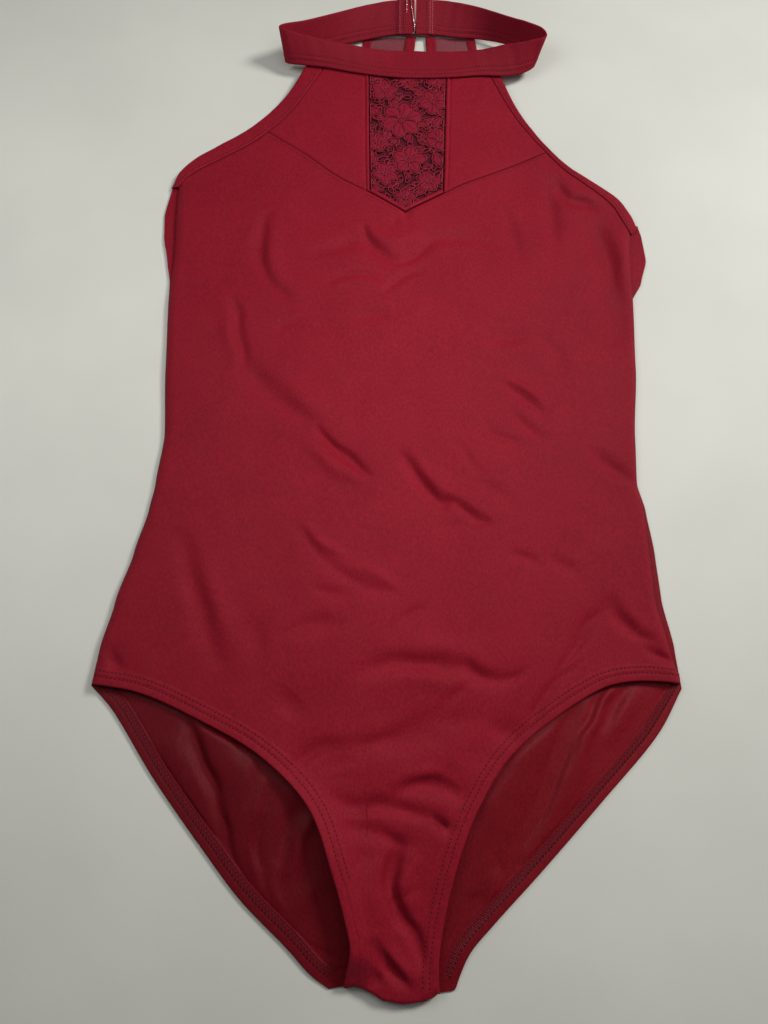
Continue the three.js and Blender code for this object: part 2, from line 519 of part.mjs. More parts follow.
function backBody() {
  const legColumns = BACK_COLUMNS.leg;
  const leftLeg = evenPoints(BACK_LEG_LEFT, legColumns);
  const rightLeg = evenPoints(BACK_LEG_RIGHT, legColumns).reverse();
  const crotchLeft = BACK_LEG_LEFT.at(-1).x;
  const crotchRight = BACK_LEG_RIGHT.at(-1).x;
  const crotch = stations(crotchLeft, crotchRight, BACK_COLUMNS.crotch).slice(1, -1).map((x) => {
    return new THREE.Vector3(x, readTable(CROTCH_FOLD, 'x', x, 'y') + CROTCH_INSET, 0);
  });
  const bottom = [...leftLeg, ...crotch, ...rightLeg];
  const first = RACER_BACK[0];
  const acrossTop = stations(first.left, first.right, BACK_COLUMNS.top).slice(1, -1).map((x) => {
    return new THREE.Vector3(x, first.y, 0);
  });
  const top = [
    ...evenPoints(BACK_ARMHOLE_LEFT, BACK_COLUMNS.armhole),
    ...acrossTop,
    ...evenPoints(BACK_ARMHOLE_RIGHT, BACK_COLUMNS.armhole).reverse(),
  ];
  const count = bottom.length - 1;
  const grid = bodyGrid(bottom, top, 'backLeft', 'backRight');
  const rows = HEM_ROWS.length - 1 + BODY_ROWS;
  const place = (i, row, isUpper) => {
    const flat = grid(i, row);
    const isLeg = i <= legColumns || i >= count - legColumns;
    const fromCrotch = Math.min(Math.abs(i - legColumns), Math.abs(i - count + legColumns));
    const isHem = row < HEM_ROWS.length - 1 && isLeg;
    const hem = isHem ? HEM_EXTRA * clamp(fromCrotch / HEM_TAPER_COLUMNS, 0, 1) : 0;
    const ridge = Math.max(0, foldHeight(BACK_FOLDS, flat.x, flat.y) - BACK_FOLD_LOSS);
    const lift = isHem ? 0 : ridge;
    return new THREE.Vector3(flat.x, flat.y, isUpper ? CLOTH_WALL + hem + lift : lift);
  };
  return shell(count, rows, (i, j) => place(i, j, true), (i, j) => place(i, j, false));
}

// Patch between four edges, each a list of points with matching corners
function patch(bottom, top, left, right) {
  const columns = bottom.length - 1;
  const rows = left.length - 1;
  return (i, j) => {
    const u = i / columns;
    const v = j / rows;
    const ruled = bottom[i].clone().multiplyScalar(1 - v).addScaledVector(top[i], v);
    ruled.addScaledVector(left[j], 1 - u).addScaledVector(right[j], u);
    ruled.addScaledVector(bottom[0], -(1 - u) * (1 - v)).addScaledVector(bottom[columns], -u * (1 - v));
    ruled.addScaledVector(top[0], -(1 - u) * v).addScaledVector(top[columns], -u * v);
    return ruled;
  };
}

function frontShell(columns, rows, flatAt, wall, reliefAt = () => 0) {
  const upper = (i, j) => {
    const flat = flatAt(i, j);
    return flat.setZ(frontHeight(flat.x, flat.y) + reliefAt(flat.x, flat.y, i, j));
  };
  const lower = (i, j) => {
    const flat = flatAt(i, j);
    return flat.setZ(frontHeight(flat.x, flat.y) - wall);
  };
  return shell(columns, rows, upper, lower);
}

const raiseSeam = (point) => point.clone().add(new THREE.Vector3(0, BODICE_SEAM_RISE, 0));
const shiftX = (point, dx) => point.clone().add(new THREE.Vector3(dx, 0, 0));

// Left and right lists of points along the lace's upright edges
function laceEdge(bottomPoint, topPoint, count) {
  return stations(0, 1, count).map((t) => bottomPoint.clone().lerp(topPoint, t));
}

const laceBottomLeft = raiseSeam(bodiceLeft(LACE_LEFT_ROW));
const laceBottomRight = raiseSeam(bodiceRight(LACE_RIGHT_ROW - POINT_ROW));
const laceTopLeft = neckline(NECK_LACE_LEFT_ROW);
const laceTopRight = neckline(NECK_LACE_RIGHT_ROW);

function yokeLeft() {
  const bottom = SEAM_LEFT_STATIONS.map((s) => raiseSeam(bodiceLeft(s)));
  bottom[bottom.length - 1] = shiftX(laceBottomLeft, -SEAM_GAP / 2);
  const top = stations(0, NECK_LACE_LEFT_ROW, 5).map(neckline);
  top[top.length - 1] = shiftX(laceTopLeft, -SEAM_GAP / 2);
  const left = YOKE_LEFT_STATIONS.map(armholeLeftIn);
  bottom[0] = left[0];
  const right = laceEdge(bottom[bottom.length - 1], top[top.length - 1], 5);
  return frontShell(5, 5, patch(bottom, top, left, right), CLOTH_WALL);
}

function yokeRight() {
  const bottom = SEAM_RIGHT_STATIONS.map((s) => raiseSeam(bodiceRight(s)));
  bottom[0] = shiftX(laceBottomRight, SEAM_GAP / 2);
  const top = stations(NECK_LACE_RIGHT_ROW, NECKLINE.length - 1, 4).map(neckline);
  top[0] = shiftX(laceTopRight, SEAM_GAP / 2);
  const right = YOKE_RIGHT_STATIONS.map(armholeRightIn);
  bottom[bottom.length - 1] = right[0];
  const left = laceEdge(bottom[0], top[0], 5);
  return frontShell(4, 5, patch(bottom, top, left, right), CLOTH_WALL);
}

// Height of the sprigs above the lace's net
function laceHeight(x, y) {
  let height = 0;
  for (const flower of LACE_FLOWERS) {
    const dx = x - flower.x;
    const dy = y - flower.y;
    const angle = Math.atan2(dy, dx) - THREE.MathUtils.degToRad(flower.turn);
    const reach = flower.radius * (1 - PETAL_DEPTH + PETAL_DEPTH * Math.cos(flower.petals * angle));
    height = Math.max(height, 1 - smoothStep(Math.hypot(dx, dy), reach * 0.7, reach));
  }
  for (const leaf of LACE_LEAVES) {
    const turn = THREE.MathUtils.degToRad(leaf.turn);
    const along = ((x - leaf.x) * Math.cos(turn) + (y - leaf.y) * Math.sin(turn)) / leaf.long;
    const across = ((y - leaf.y) * Math.cos(turn) - (x - leaf.x) * Math.sin(turn)) / leaf.wide;
    height = Math.max(height, 1 - smoothStep(Math.hypot(along, across), 0.6, 1));
  }
  return height * LACE_RELIEF;
}

// Each chord of the bodice seam under the lace is divided, so the lace follows the same line
function lacePanel() {
  const chords = [...LACE_LEFT_STATIONS.map(bodiceLeft), ...LACE_RIGHT_STATIONS.slice(1).map(bodiceRight)];
  const bottom = [];
  chords.slice(1).forEach((end, i) => {
    for (let k = 0; k < LACE_CHORD_PARTS; k += 1) {
      bottom.push(raiseSeam(chords[i].clone().lerp(end, k / LACE_CHORD_PARTS)));
    }
  });
  bottom.push(raiseSeam(chords[chords.length - 1]));
  const columns = bottom.length - 1;
  const top = stations(NECK_LACE_LEFT_ROW, NECK_LACE_RIGHT_ROW, columns).map(neckline);
  bottom[0] = shiftX(laceBottomLeft, SEAM_GAP / 2);
  bottom[columns] = shiftX(laceBottomRight, -SEAM_GAP / 2);
  top[0] = shiftX(laceTopLeft, SEAM_GAP / 2);
  top[columns] = shiftX(laceTopRight, -SEAM_GAP / 2);
  const rows = LACE_ROWS;
  const left = laceEdge(bottom[0], top[0], rows);
  const right = laceEdge(bottom[columns], top[columns], rows);
  const rim = (i, j) => (i === 0 || i === columns || j === 0 || j === rows ? 0 : 1);
  const relief = (x, y, i, j) => laceHeight(x, y) * rim(i, j) - LACE_SINK;
  return frontShell(columns, rows, patch(bottom, top, left, right), MESH_WALL + LACE_SINK, relief);
}

// Binding of a front armhole, rounded down towards its free edge
const BINDING_SECTION = [
  { across: 0, drop: 0.25 }, { across: 0.2, drop: 0 }, { across: 0.75, drop: 0.05 }, { across: 1, drop: 0.7 },
];

function frontBinding(inner, outer, bodyStations, yokeStations, isRight) {
  const along = [...bodyStations, ...yokeStations];
  const section = isRight ? BINDING_SECTION : [...BINDING_SECTION].reverse();
  const flatAt = (i, j) => {
    const from = inner(along[j]);
    const to = outer(along[j]);
    const width = from.distanceTo(to);
    const across = (SEAM_GAP + (width - SEAM_GAP) * section[i].across) / width;
    return from.lerp(to, across);
  };
  const upper = (i, j) => {
    const flat = flatAt(i, j);
    return flat.setZ(frontHeight(flat.x, flat.y) - section[i].drop);
  };
  const lower = (i, j) => {
    const flat = flatAt(i, j);
    return flat.setZ(frontHeight(flat.x, flat.y) - BINDING_WALL);
  };
  return shell(section.length - 1, along.length - 1, upper, lower);
}

// The upper back lies on the surface and lifts at its top to the neckband
function backLift(x, y) {
  const foot = readTable(backBand, 'footX', x, 'footZ');
  const room = foot - BAND_WALL / 2 - BAND_GAP - BINDING_WALL;
  return Math.max(0, room) * smoothStep(y, STRAP_LIFT.from, STRAP_LIFT.to);
}

function backShell(columns, rows, flatAt, wall) {
  const upper = (i, j) => {
    const flat = flatAt(i, j);
    return flat.setZ(backLift(flat.x, flat.y) + wall);
  };
  const lower = (i, j) => {
    const flat = flatAt(i, j);
    return flat.setZ(backLift(flat.x, flat.y));
  };
  return shell(columns, rows, upper, lower);
}

const racerY = (j) => RACER_BACK[0].y + SEAM_GAP + (STRAP_END_Y - RACER_BACK[0].y - SEAM_GAP) * j / BACK_ROWS;

// Lines of the upper back at a height, from the left strap to the right one
function racerLine(name, y) {
  const read = (key) => readTable(RACER_BACK, 'y', y, key);
  const lines = {
    strapLeft: () => read('left'),
    keyholeLeft: () => read('centre') - read('hole') - KEYHOLE_BINDING_WIDTH,
    holeLeft: () => read('centre') - read('hole'),
    holeRight: () => read('centre') + read('hole'),
    keyholeRight: () => read('centre') + read('hole') + KEYHOLE_BINDING_WIDTH,
    strapRight: () => read('right'),
  };
  return lines[name]();
}

function backStrip(leftLine, rightLine, leftGap, rightGap, columns, wall) {
  const flatAt = (i, j) => {
    const y = racerY(j);
    const left = racerLine(leftLine, y) + leftGap;
    const right = racerLine(rightLine, y) - rightGap;
    return new THREE.Vector3(left + (right - left) * i / columns, y, 0);
  };
  return backShell(columns, BACK_ROWS, flatAt, wall);
}

// Binding of a back armhole: under the arm along the back body, then up beside the mesh
function backBinding(armhole, lineName, side) {
  const lower = evenPoints(armhole, BACK_COLUMNS.armhole);
  const upper = stations(1, BACK_ROWS, BACK_ROWS - 1).map((j) => {
    return new THREE.Vector3(racerLine(lineName, racerY(j)), racerY(j), 0);
  });
  const edge = [...lower, ...upper];
  const last = edge.length - 1;
  const flatAt = (i, j) => {
    const before = edge[Math.max(j - 1, 0)];
    const after = edge[Math.min(j + 1, last)];
    const along = after.clone().sub(before).normalize();
    const outward = new THREE.Vector3(-along.y, along.x, 0).multiplyScalar(-side);
    if (j === last) outward.set(side, 0, 0);
    const step = side < 0 ? 2 - i : i;
    const reach = SEAM_GAP + (STRAP_WIDTH - SEAM_GAP) * step / 2;
    return edge[j].clone().addScaledVector(outward, reach);
  };
  return backShell(2, last, flatAt, BINDING_WALL);
}

// The neckband stands as a ring, its wall drawn square to its middle surface
function neckband() {
  const foot = rowCurve(NECKBAND, 'footX', 'footY', 'footZ');
  const top = rowCurve(NECKBAND, 'topX', 'topY', 'topZ');
  const last = NECKBAND.length - 1;
  const tabEnd = TAB_LENGTH / (NECKBAND[0].footX - NECKBAND[1].footX);
  const tabColumns = [0, tabEnd, tabEnd + TAB_STEP];
  const along = [
    ...tabColumns, ...stations(1, last - 1, BAND_COLUMNS),
    ...tabColumns.map((t) => last - t).reverse(),
  ];
  const heights = [0, 0.33, 0.67, 1];
  const middle = (s, h) => foot(s).lerp(top(s), h);
  const normalAt = (s, h) => {
    const step = 0.05;
    const alongBand = middle(Math.min(s + step, last), h).sub(middle(Math.max(s - step, 0), h));
    const upBand = middle(s, 1).sub(middle(s, 0));
    return alongBand.cross(upBand).normalize();
  };
  const inTab = (s) => s <= tabEnd || s >= last - tabEnd;
  const outerAt = (i, j) => {
    const point = middle(along[i], heights[j]);
    return point.addScaledVector(normalAt(along[i], heights[j]), BAND_WALL / 2);
  };
  const innerAt = (i, j) => {
    const inward = BAND_WALL / 2 + (inTab(along[i]) ? TAB_EXTRA : 0);
    const point = middle(along[i], heights[j]);
    return point.addScaledVector(normalAt(along[i], heights[j]), -inward);
  };
  return shell(along.length - 1, heights.length - 1, outerAt, innerAt);
}

// Flat plastic frame of the clasp, with its slot, lying behind a tab
function claspFrame(width) {
  const shape = new THREE.Shape();
  const bevel = CLASP_CORNER;
  shape.moveTo(bevel, 0);
  shape.lineTo(width - bevel, 0);
  shape.lineTo(width, bevel);
  shape.lineTo(width, CLASP_LENGTH - bevel);
  shape.lineTo(width - bevel, CLASP_LENGTH);
  shape.lineTo(bevel, CLASP_LENGTH);
  shape.lineTo(0, CLASP_LENGTH - bevel);
  shape.lineTo(0, bevel);
  shape.closePath();
  const slot = new THREE.Path();
  const inset = (CLASP_LENGTH - CLASP_SLOT_LENGTH) / 2;
  slot.moveTo(CLASP_FRAME, inset);
  slot.lineTo(CLASP_FRAME, CLASP_LENGTH - inset);
  slot.lineTo(width - CLASP_FRAME, CLASP_LENGTH - inset);
  slot.lineTo(width - CLASP_FRAME, inset);
  slot.closePath();
  shape.holes.push(slot);
  return new THREE.ExtrudeGeometry(shape, { depth: CLASP_THICKNESS, bevelEnabled: false });
}

// Both halves of the clasp lean with the back of the neckband
function addClasp() {
  const end = NECKBAND[0];
  const lean = Math.atan2(end.topZ - end.footZ, end.topY - end.footY);
  const bandHeight = Math.hypot(end.topZ - end.footZ, end.topY - end.footY);
  const below = BAND_WALL / 2 + SEAM_GAP + CLASP_THICKNESS;
  const start = bandHeight + CLASP_PROUD - CLASP_LENGTH;
  const y = end.footY + start * Math.cos(lean) + below * Math.sin(lean);
  const z = end.footZ + start * Math.sin(lean) - below * Math.cos(lean);
  const halves = [
    { name: 'clasp_hook', x: CLASP_CENTRE_X - SEAM_GAP / 2 - CLASP_WIDTH },
    { name: 'clasp_eye', x: CLASP_CENTRE_X + SEAM_GAP / 2 },
  ];
  for (const half of halves) {
    const mesh = addPiece(half.name, claspFrame(CLASP_WIDTH), CLEAR_PLASTIC, 0.15);
    mesh.position.set(half.x, y, z);
    mesh.rotation.x = lean;
  }
}

addPiece('front_body', frontBody(), CRIMSON);
addPiece('back_body', backBody(), CRIMSON);
addPiece('yoke_left', yokeLeft(), CRIMSON);
addPiece('yoke_right', yokeRight(), CRIMSON);
addPiece('lace_panel', lacePanel(), LACE_RED, 0.8);
addPiece(
  'armhole_binding_left_front',
  frontBinding(armholeLeftIn, armholeLeftOut, BODY_LEFT_STATIONS, YOKE_LEFT_STATIONS, false),
  DARK_CRIMSON,
);
addPiece(
  'armhole_binding_right_front',
  frontBinding(armholeRightIn, armholeRightOut, BODY_RIGHT_STATIONS, YOKE_RIGHT_STATIONS, true),
  DARK_CRIMSON,
);
addPiece('armhole_binding_left_back', backBinding(BACK_ARMHOLE_LEFT, 'strapLeft', -1), DARK_CRIMSON);
addPiece('armhole_binding_right_back', backBinding(BACK_ARMHOLE_RIGHT, 'strapRight', 1), DARK_CRIMSON);
const meshLeft = backStrip('strapLeft', 'keyholeLeft', 0, SEAM_GAP, 4, MESH_WALL);
const meshRight = backStrip('keyholeRight', 'strapRight', SEAM_GAP, 0, 4, MESH_WALL);
const keyholeLeft = backStrip('keyholeLeft', 'holeLeft', 0, 0, 2, BINDING_WALL);
const keyholeRight = backStrip('holeRight', 'keyholeRight', 0, 0, 2, BINDING_WALL);
addPiece('back_mesh_left', meshLeft, MESH_RED, 0.8);
addPiece('back_mesh_right', meshRight, MESH_RED, 0.8);
addPiece('keyhole_binding_left', keyholeLeft, DARK_CRIMSON);
addPiece('keyhole_binding_right', keyholeRight, DARK_CRIMSON);
addPiece('neckband', neckband(), CRIMSON);
addClasp();

// The origin is the middle of the underside
garment.updateMatrixWorld(true);
const extent = new THREE.Box3().setFromObject(garment, true);
garment.position.set(-(extent.min.x + extent.max.x) / 2, -(extent.min.y + extent.max.y) / 2, -extent.min.z);

export default garment;
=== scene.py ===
import math

import bpy
import numpy as np
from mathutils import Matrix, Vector, noise


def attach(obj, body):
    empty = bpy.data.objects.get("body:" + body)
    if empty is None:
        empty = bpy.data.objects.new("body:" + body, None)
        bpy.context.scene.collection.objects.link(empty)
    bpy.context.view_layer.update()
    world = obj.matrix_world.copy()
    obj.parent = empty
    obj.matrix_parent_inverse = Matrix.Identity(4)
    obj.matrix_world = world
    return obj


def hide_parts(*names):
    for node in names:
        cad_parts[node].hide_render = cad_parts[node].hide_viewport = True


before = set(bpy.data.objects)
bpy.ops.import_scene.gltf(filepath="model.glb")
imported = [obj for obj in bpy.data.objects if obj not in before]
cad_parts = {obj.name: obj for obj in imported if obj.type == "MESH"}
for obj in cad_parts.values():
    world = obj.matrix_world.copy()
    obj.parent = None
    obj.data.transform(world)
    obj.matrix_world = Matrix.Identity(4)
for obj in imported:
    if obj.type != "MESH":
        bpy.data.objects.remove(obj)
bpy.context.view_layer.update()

# A halter leotard laid flat on its back, front up.
# Sizes are millimetres on the garment: x across, y from the crotch fold to the neck, z up.
MM = 0.001
ORIGIN = np.array([4.55, 319.9, 0.0])  # the row frame's origin, on the garment

# Driving sizes
CLOTH_WALL = 0.9
SOLID_WALL = 1.2
HEM_WALL = 1.7
MESH_WALL = 0.5
BINDING_WALL = 1.5
BAND_WALL = 1.5
SEAM_GAP = 0.3
BAND_GAP = 0.45
BODICE_SEAM_RISE = 0.4
HEM_WIDTH = 10.5
HEM_ROW_LOW = 4.4
NEEDLE_GAP = 3.2
STITCH_PITCH = 2.3
SIDE_ROLL = 6.0
SIDE_EDGE_HEIGHT = 1.5
HIP_EDGE_HEIGHT = 2.5
ARM_EDGE_HEIGHT = 1.9
ARM_END_HEIGHT = 3.0
CROTCH_TOP = 6.0
CROTCH_ROLL = (CROTCH_TOP - SIDE_EDGE_HEIGHT) / 2
CROTCH_LIP = -3.0
CROTCH_INSET = 0.3
LEAST_ROLL = 0.4
LEAST_FRONT = 2.5
TORSO_PUFF = 1.1
STRAP_WIDTH = 6.5
KEYHOLE_BINDING_WIDTH = 7.5
STRAP_END_Y = 615.0
TAB_LENGTH = 12.5
TAB_EXTRA = 1.1
LACE_RELIEF = 1.7
LACE_SINK = 0.75
RIDGE_WIDTH = 2.8
RIDGE_HEIGHT = 0.75
CLASP_LENGTH = 26.0
CLASP_WIDTH = 10.5
CLASP_THICKNESS = 1.5
CLASP_CENTRE_X = 22.5
CLASP_PROUD = 3.0
CLASP_BAR = 1.5  # half width of the frames' bars
CLASP_BEND = 1.6  # radius of the frames' corners, along the middle of the bars
CLASP_ROD = 0.4  # radius of the hook's rods

# Heights on the garment between which a shape eases in or out
NECK_RISE = (530, 572)
CROTCH_CALM = (4, 16)
CROTCH_SHIFT = (12, 40)
PUFF_START = (25, 70)
PUFF_END = (425, 520)
STRAP_LIFT = (592, 612)
LACE_FLATTENS = (560, 573)
BACK_INSIDE_END = 300.0  # up to here the leg openings show the back's inner face
LEG_TOP = 157.1  # the leg edges rise to here from the crotch

# Rows, folds and soft relief
EASE_SHARE = 0.4  # how far a table's rows are eased into each other, from straight to smooth
ROW_BUNCHING = 0.38  # how much closer the body's rows lie near the hem
FOLD_END_SHARE = 0.3  # height of a fold's ends against its middle
LEAST_FOLD_WIDTH = 2.2
FRONT_FOLD_SCALE = 2.3
FRONT_FOLD_LIMIT = 3.6
FRONT_FOLD_WANDER = 2.2, 17, 9.5  # how far the folds' lines wander, the size of the waves and their seed
FRONT_SWELLS = (1.1, 46, 1.3), (0.32, 14, 4.1)  # height, size and seed of the soft relief
BACK_FOLD_SCALE = 3.4
BACK_FOLD_LIMIT = 4.2
BACK_FOLD_WANDER = 2.0, 15, 2.5
BACK_SLACK = 1.6
LEG_LIFT = 8.0  # the left leg edge of the front stands off the back
FRONT_STEPS = 239, 272  # columns between the rolled sides, and rows above the hem
BACK_STEPS = 231, 190
HEM_SAMPLES = 900
LEFT_ROWS_END = 8.3  # the column where the left hem starts to roll over and hides its needle rows
UNDERARM_TAPER = 30.0  # the length over which the back bindings come out from under the front ones


def table(columns, *rows):
    """A short table with named columns, one tuple a row."""
    return dict(zip(columns.split(), np.array(rows, float).T))


def rows_of(source, first, last=None):
    return {name: values[first:last] for name, values in source.items()}


# Outer height of the front above the surface, by distance from the crotch
FRONT_RISE = table("y top", (0, 6.0), (60, 5.8), (155, 5.1), (300, 4.3), (430, 4.4), (520, 5.1), (600, 6.0))

# Side edges of the front, and of the back where it shows past the front
SIDE_EDGES = table(
    "y left right back_left back_right",
    (155, -162.5, 165, -163, 165.5), (176, -160, 160.5, -160.3, 164), (203, -154, 155.5, -154.3, 159.5),
    (231, -146, 155, -146.3, 158.3), (257, -139.5, 154, -139.8, 155.5), (273, -137, 151.5, -137.3, 152),
    (304, -134, 153, -134.3, 153.3), (348, -137, 157.5, -137.3, 157.8), (398, -139, 160, -139.3, 160.3),
    (411, -138.5, 160.5, -139.5, 167.5), (428, -138.3, 161, -142.5, 172.3), (446, -138.5, 162.5, -146, 171),
    (463, -139, 163.5, -147, 167), (485, -139, 163.5, -143.5, 163.5),
)
SIDE_REST = table(
    "y z", (170, HIP_EDGE_HEIGHT), (190, SIDE_EDGE_HEIGHT), (425, SIDE_EDGE_HEIGHT), (445, ARM_EDGE_HEIGHT)
)

# Leg edges from the hip to the crotch
FRONT_LEG_LEFT = table(
    "x y", (-162.5, 156), (-135, 151), (-101, 136.5), (-67, 118), (-39.5, 92), (-26.5, 61),
    (-18, 31), (-17, 18), (-19, 7), (-20.5, CROTCH_LIP),
)
FRONT_LEG_RIGHT = table(
    "x y", (165, 156), (149, 157.3), (136, 157), (122, 154), (94, 138), (67, 116), (50, 91),
    (39, 66), (31, 38), (27.5, 12), (28, CROTCH_LIP),
)
BACK_LEG_LEFT = table(
    "x y", (-163, 155), (-151, 143), (-124, 105.5), (-95, 70), (-75, 47), (-50, 24.5), (-37, 12),
    (-28.5, 6.5),
)
BACK_LEG_RIGHT = table(
    "x y", (165.5, 153), (151, 130), (116, 93.5), (81, 58.5), (57, 35.5), (44, 22), (38.5, 12), (36, 6)
)
CROTCH_FOLD = table(
    "x y", (-30, 5.6), (-23, 6.6), (-17, 7.3), (-12, 7.3), (-8, 5.6), (0, 1.4), (10, 0), (20, 1.2),
    (28, 4.2), (35, 5.0), (38, 6.0),
)

# Armhole bindings of the front, from the underarm to the neckband: seam side and free side
ARMHOLE_LEFT = table(
    "in_x in_y out_x out_y",
    (-139, 484, -144, 484.5), (-132, 492, -138.5, 496), (-122, 499.5, -128, 507.5),
    (-108, 508, -113.5, 517.5), (-93, 517.5, -99, 527), (-80, 528.5, -87.5, 537),
    (-67, 543, -75.7, 549.5), (-55.5, 559, -65, 565), (-40.3, 586, -54.2, 587.6),
)
ARMHOLE_RIGHT = table(
    "in_x in_y out_x out_y",
    (163.5, 446, 168.8, 452), (158, 457, 164.5, 461), (152, 469, 157.5, 473.5),
    (134, 486.5, 137.5, 490.5), (123, 496, 126, 499.6), (110.5, 511, 113.5, 513.8),
    (98.5, 528, 102.3, 530.5), (86, 550, 91, 552.5), (73.3, 579.5, 81, 580.5),
)
SEAM_ROW = 5  # the row of both armholes where the bodice seam meets them
LAST_ARM_ROW = 8

# Bodice seam from armhole to armhole, and the rows where the lace starts, points and ends
BODICE_SEAM = table(
    "x y", (-80, 528.5), (-57, 512), (-30, 491), (-9.5, 478.8), (14, 463.5), (40, 477.8),
    (54, 485.8), (73, 494.3), (92, 502.3), (110.5, 511),
)
LACE_LEFT_ROW = 3
POINT_ROW = 4
LACE_RIGHT_ROW = 5
LAST_SEAM_ROW = 9

# Top edge of the yokes and lace, tucked in under the neckband
NECKLINE = table(
    "x y", (-40.3, 586), (-27, 583.5), (-11, 580.7), (16, 579), (44.5, 579), (60, 579.7), (73.3, 579.5)
)
NECK_LACE_LEFT_ROW = 2
NECK_LACE_RIGHT_ROW = 4
LAST_NECK_ROW = 6

# Edges of the upper back by height: mesh edge at each strap, half width of the keyhole, its centre
RACER_BACK = table(
    "y left hole centre right", (500, -62, 0.15, 18, 88), (520, -44, 8, 20, 79), (545, -29, 12.5, 22, 72.5),
    (575, -17, 9, 24.5, 66), (600, -10, 4.5, 26, 61), (615, -8.5, 3.5, 26.6, 59.5),
)
BACK_ARMHOLE_LEFT = table("x y", (-143.5, 485), (-122, 478), (-96, 480), (-62, 500))
BACK_ARMHOLE_RIGHT = table("x y", (169.3, 453), (145, 455), (114, 470), (88, 500))

# Neckband by section from the left tab round the front to the right tab: lower and upper edge
NECKBAND = table(
    "foot_x foot_y foot_z top_x top_y top_z",
    (21.8, 614.8, 3.6, 21.8, 635.5, 14), (6, 614.8, 3.5, 6, 635.2, 14),
    (-14, 611.2, 2.7, -14, 630, 14.5), (-36, 605, 2.7, -34, 620.5, 17),
    (-56, 597, 3.4, -56, 609.5, 20.5), (-67, 590.6, 5.2, -69.6, 603, 23.6),
    (-69.6, 587.8, 6.2, -72.3, 600.8, 24), (-67, 585, 7.4, -69.6, 598.9, 23.6),
    (-56, 582.6, 8.3, -57, 596.6, 21), (-40, 580.5, 8.1, -39, 595.6, 17),
    (-22, 577, 7.7, -20, 594.5, 13.6), (-2, 574, 7.4, -2, 594, 10.5),
    (18, 572.5, 7.2, 18, 594, 9.5), (47, 573, 7.2, 47, 593.5, 9.5),
    (68, 574.5, 7.3, 67, 592, 12.5), (86, 574, 7.4, 85, 592, 17),
    (98, 576.3, 7.6, 101, 590.5, 21.5), (105.5, 582, 7.8, 112, 592.5, 24),
    (105, 588.5, 6.8, 110.5, 598, 24), (98.5, 597, 5.2, 102, 604.5, 23),
    (88, 606, 3.8, 88, 613, 20.5), (66, 612.3, 2.7, 67, 627, 16),
    (52, 613.5, 2.7, 52, 633, 14.4), (38, 614.8, 3.5, 38, 635.6, 14),
    (23.3, 614.8, 3.6, 23.3, 635.8, 14),
)
LAST_BAND_ROW = 24
FRONT_BAND = rows_of(NECKBAND, 7, 18)
BACK_BAND = {
    name: np.concatenate([values[4::-1], values[:19:-1]]) for name, values in NECKBAND.items()
}

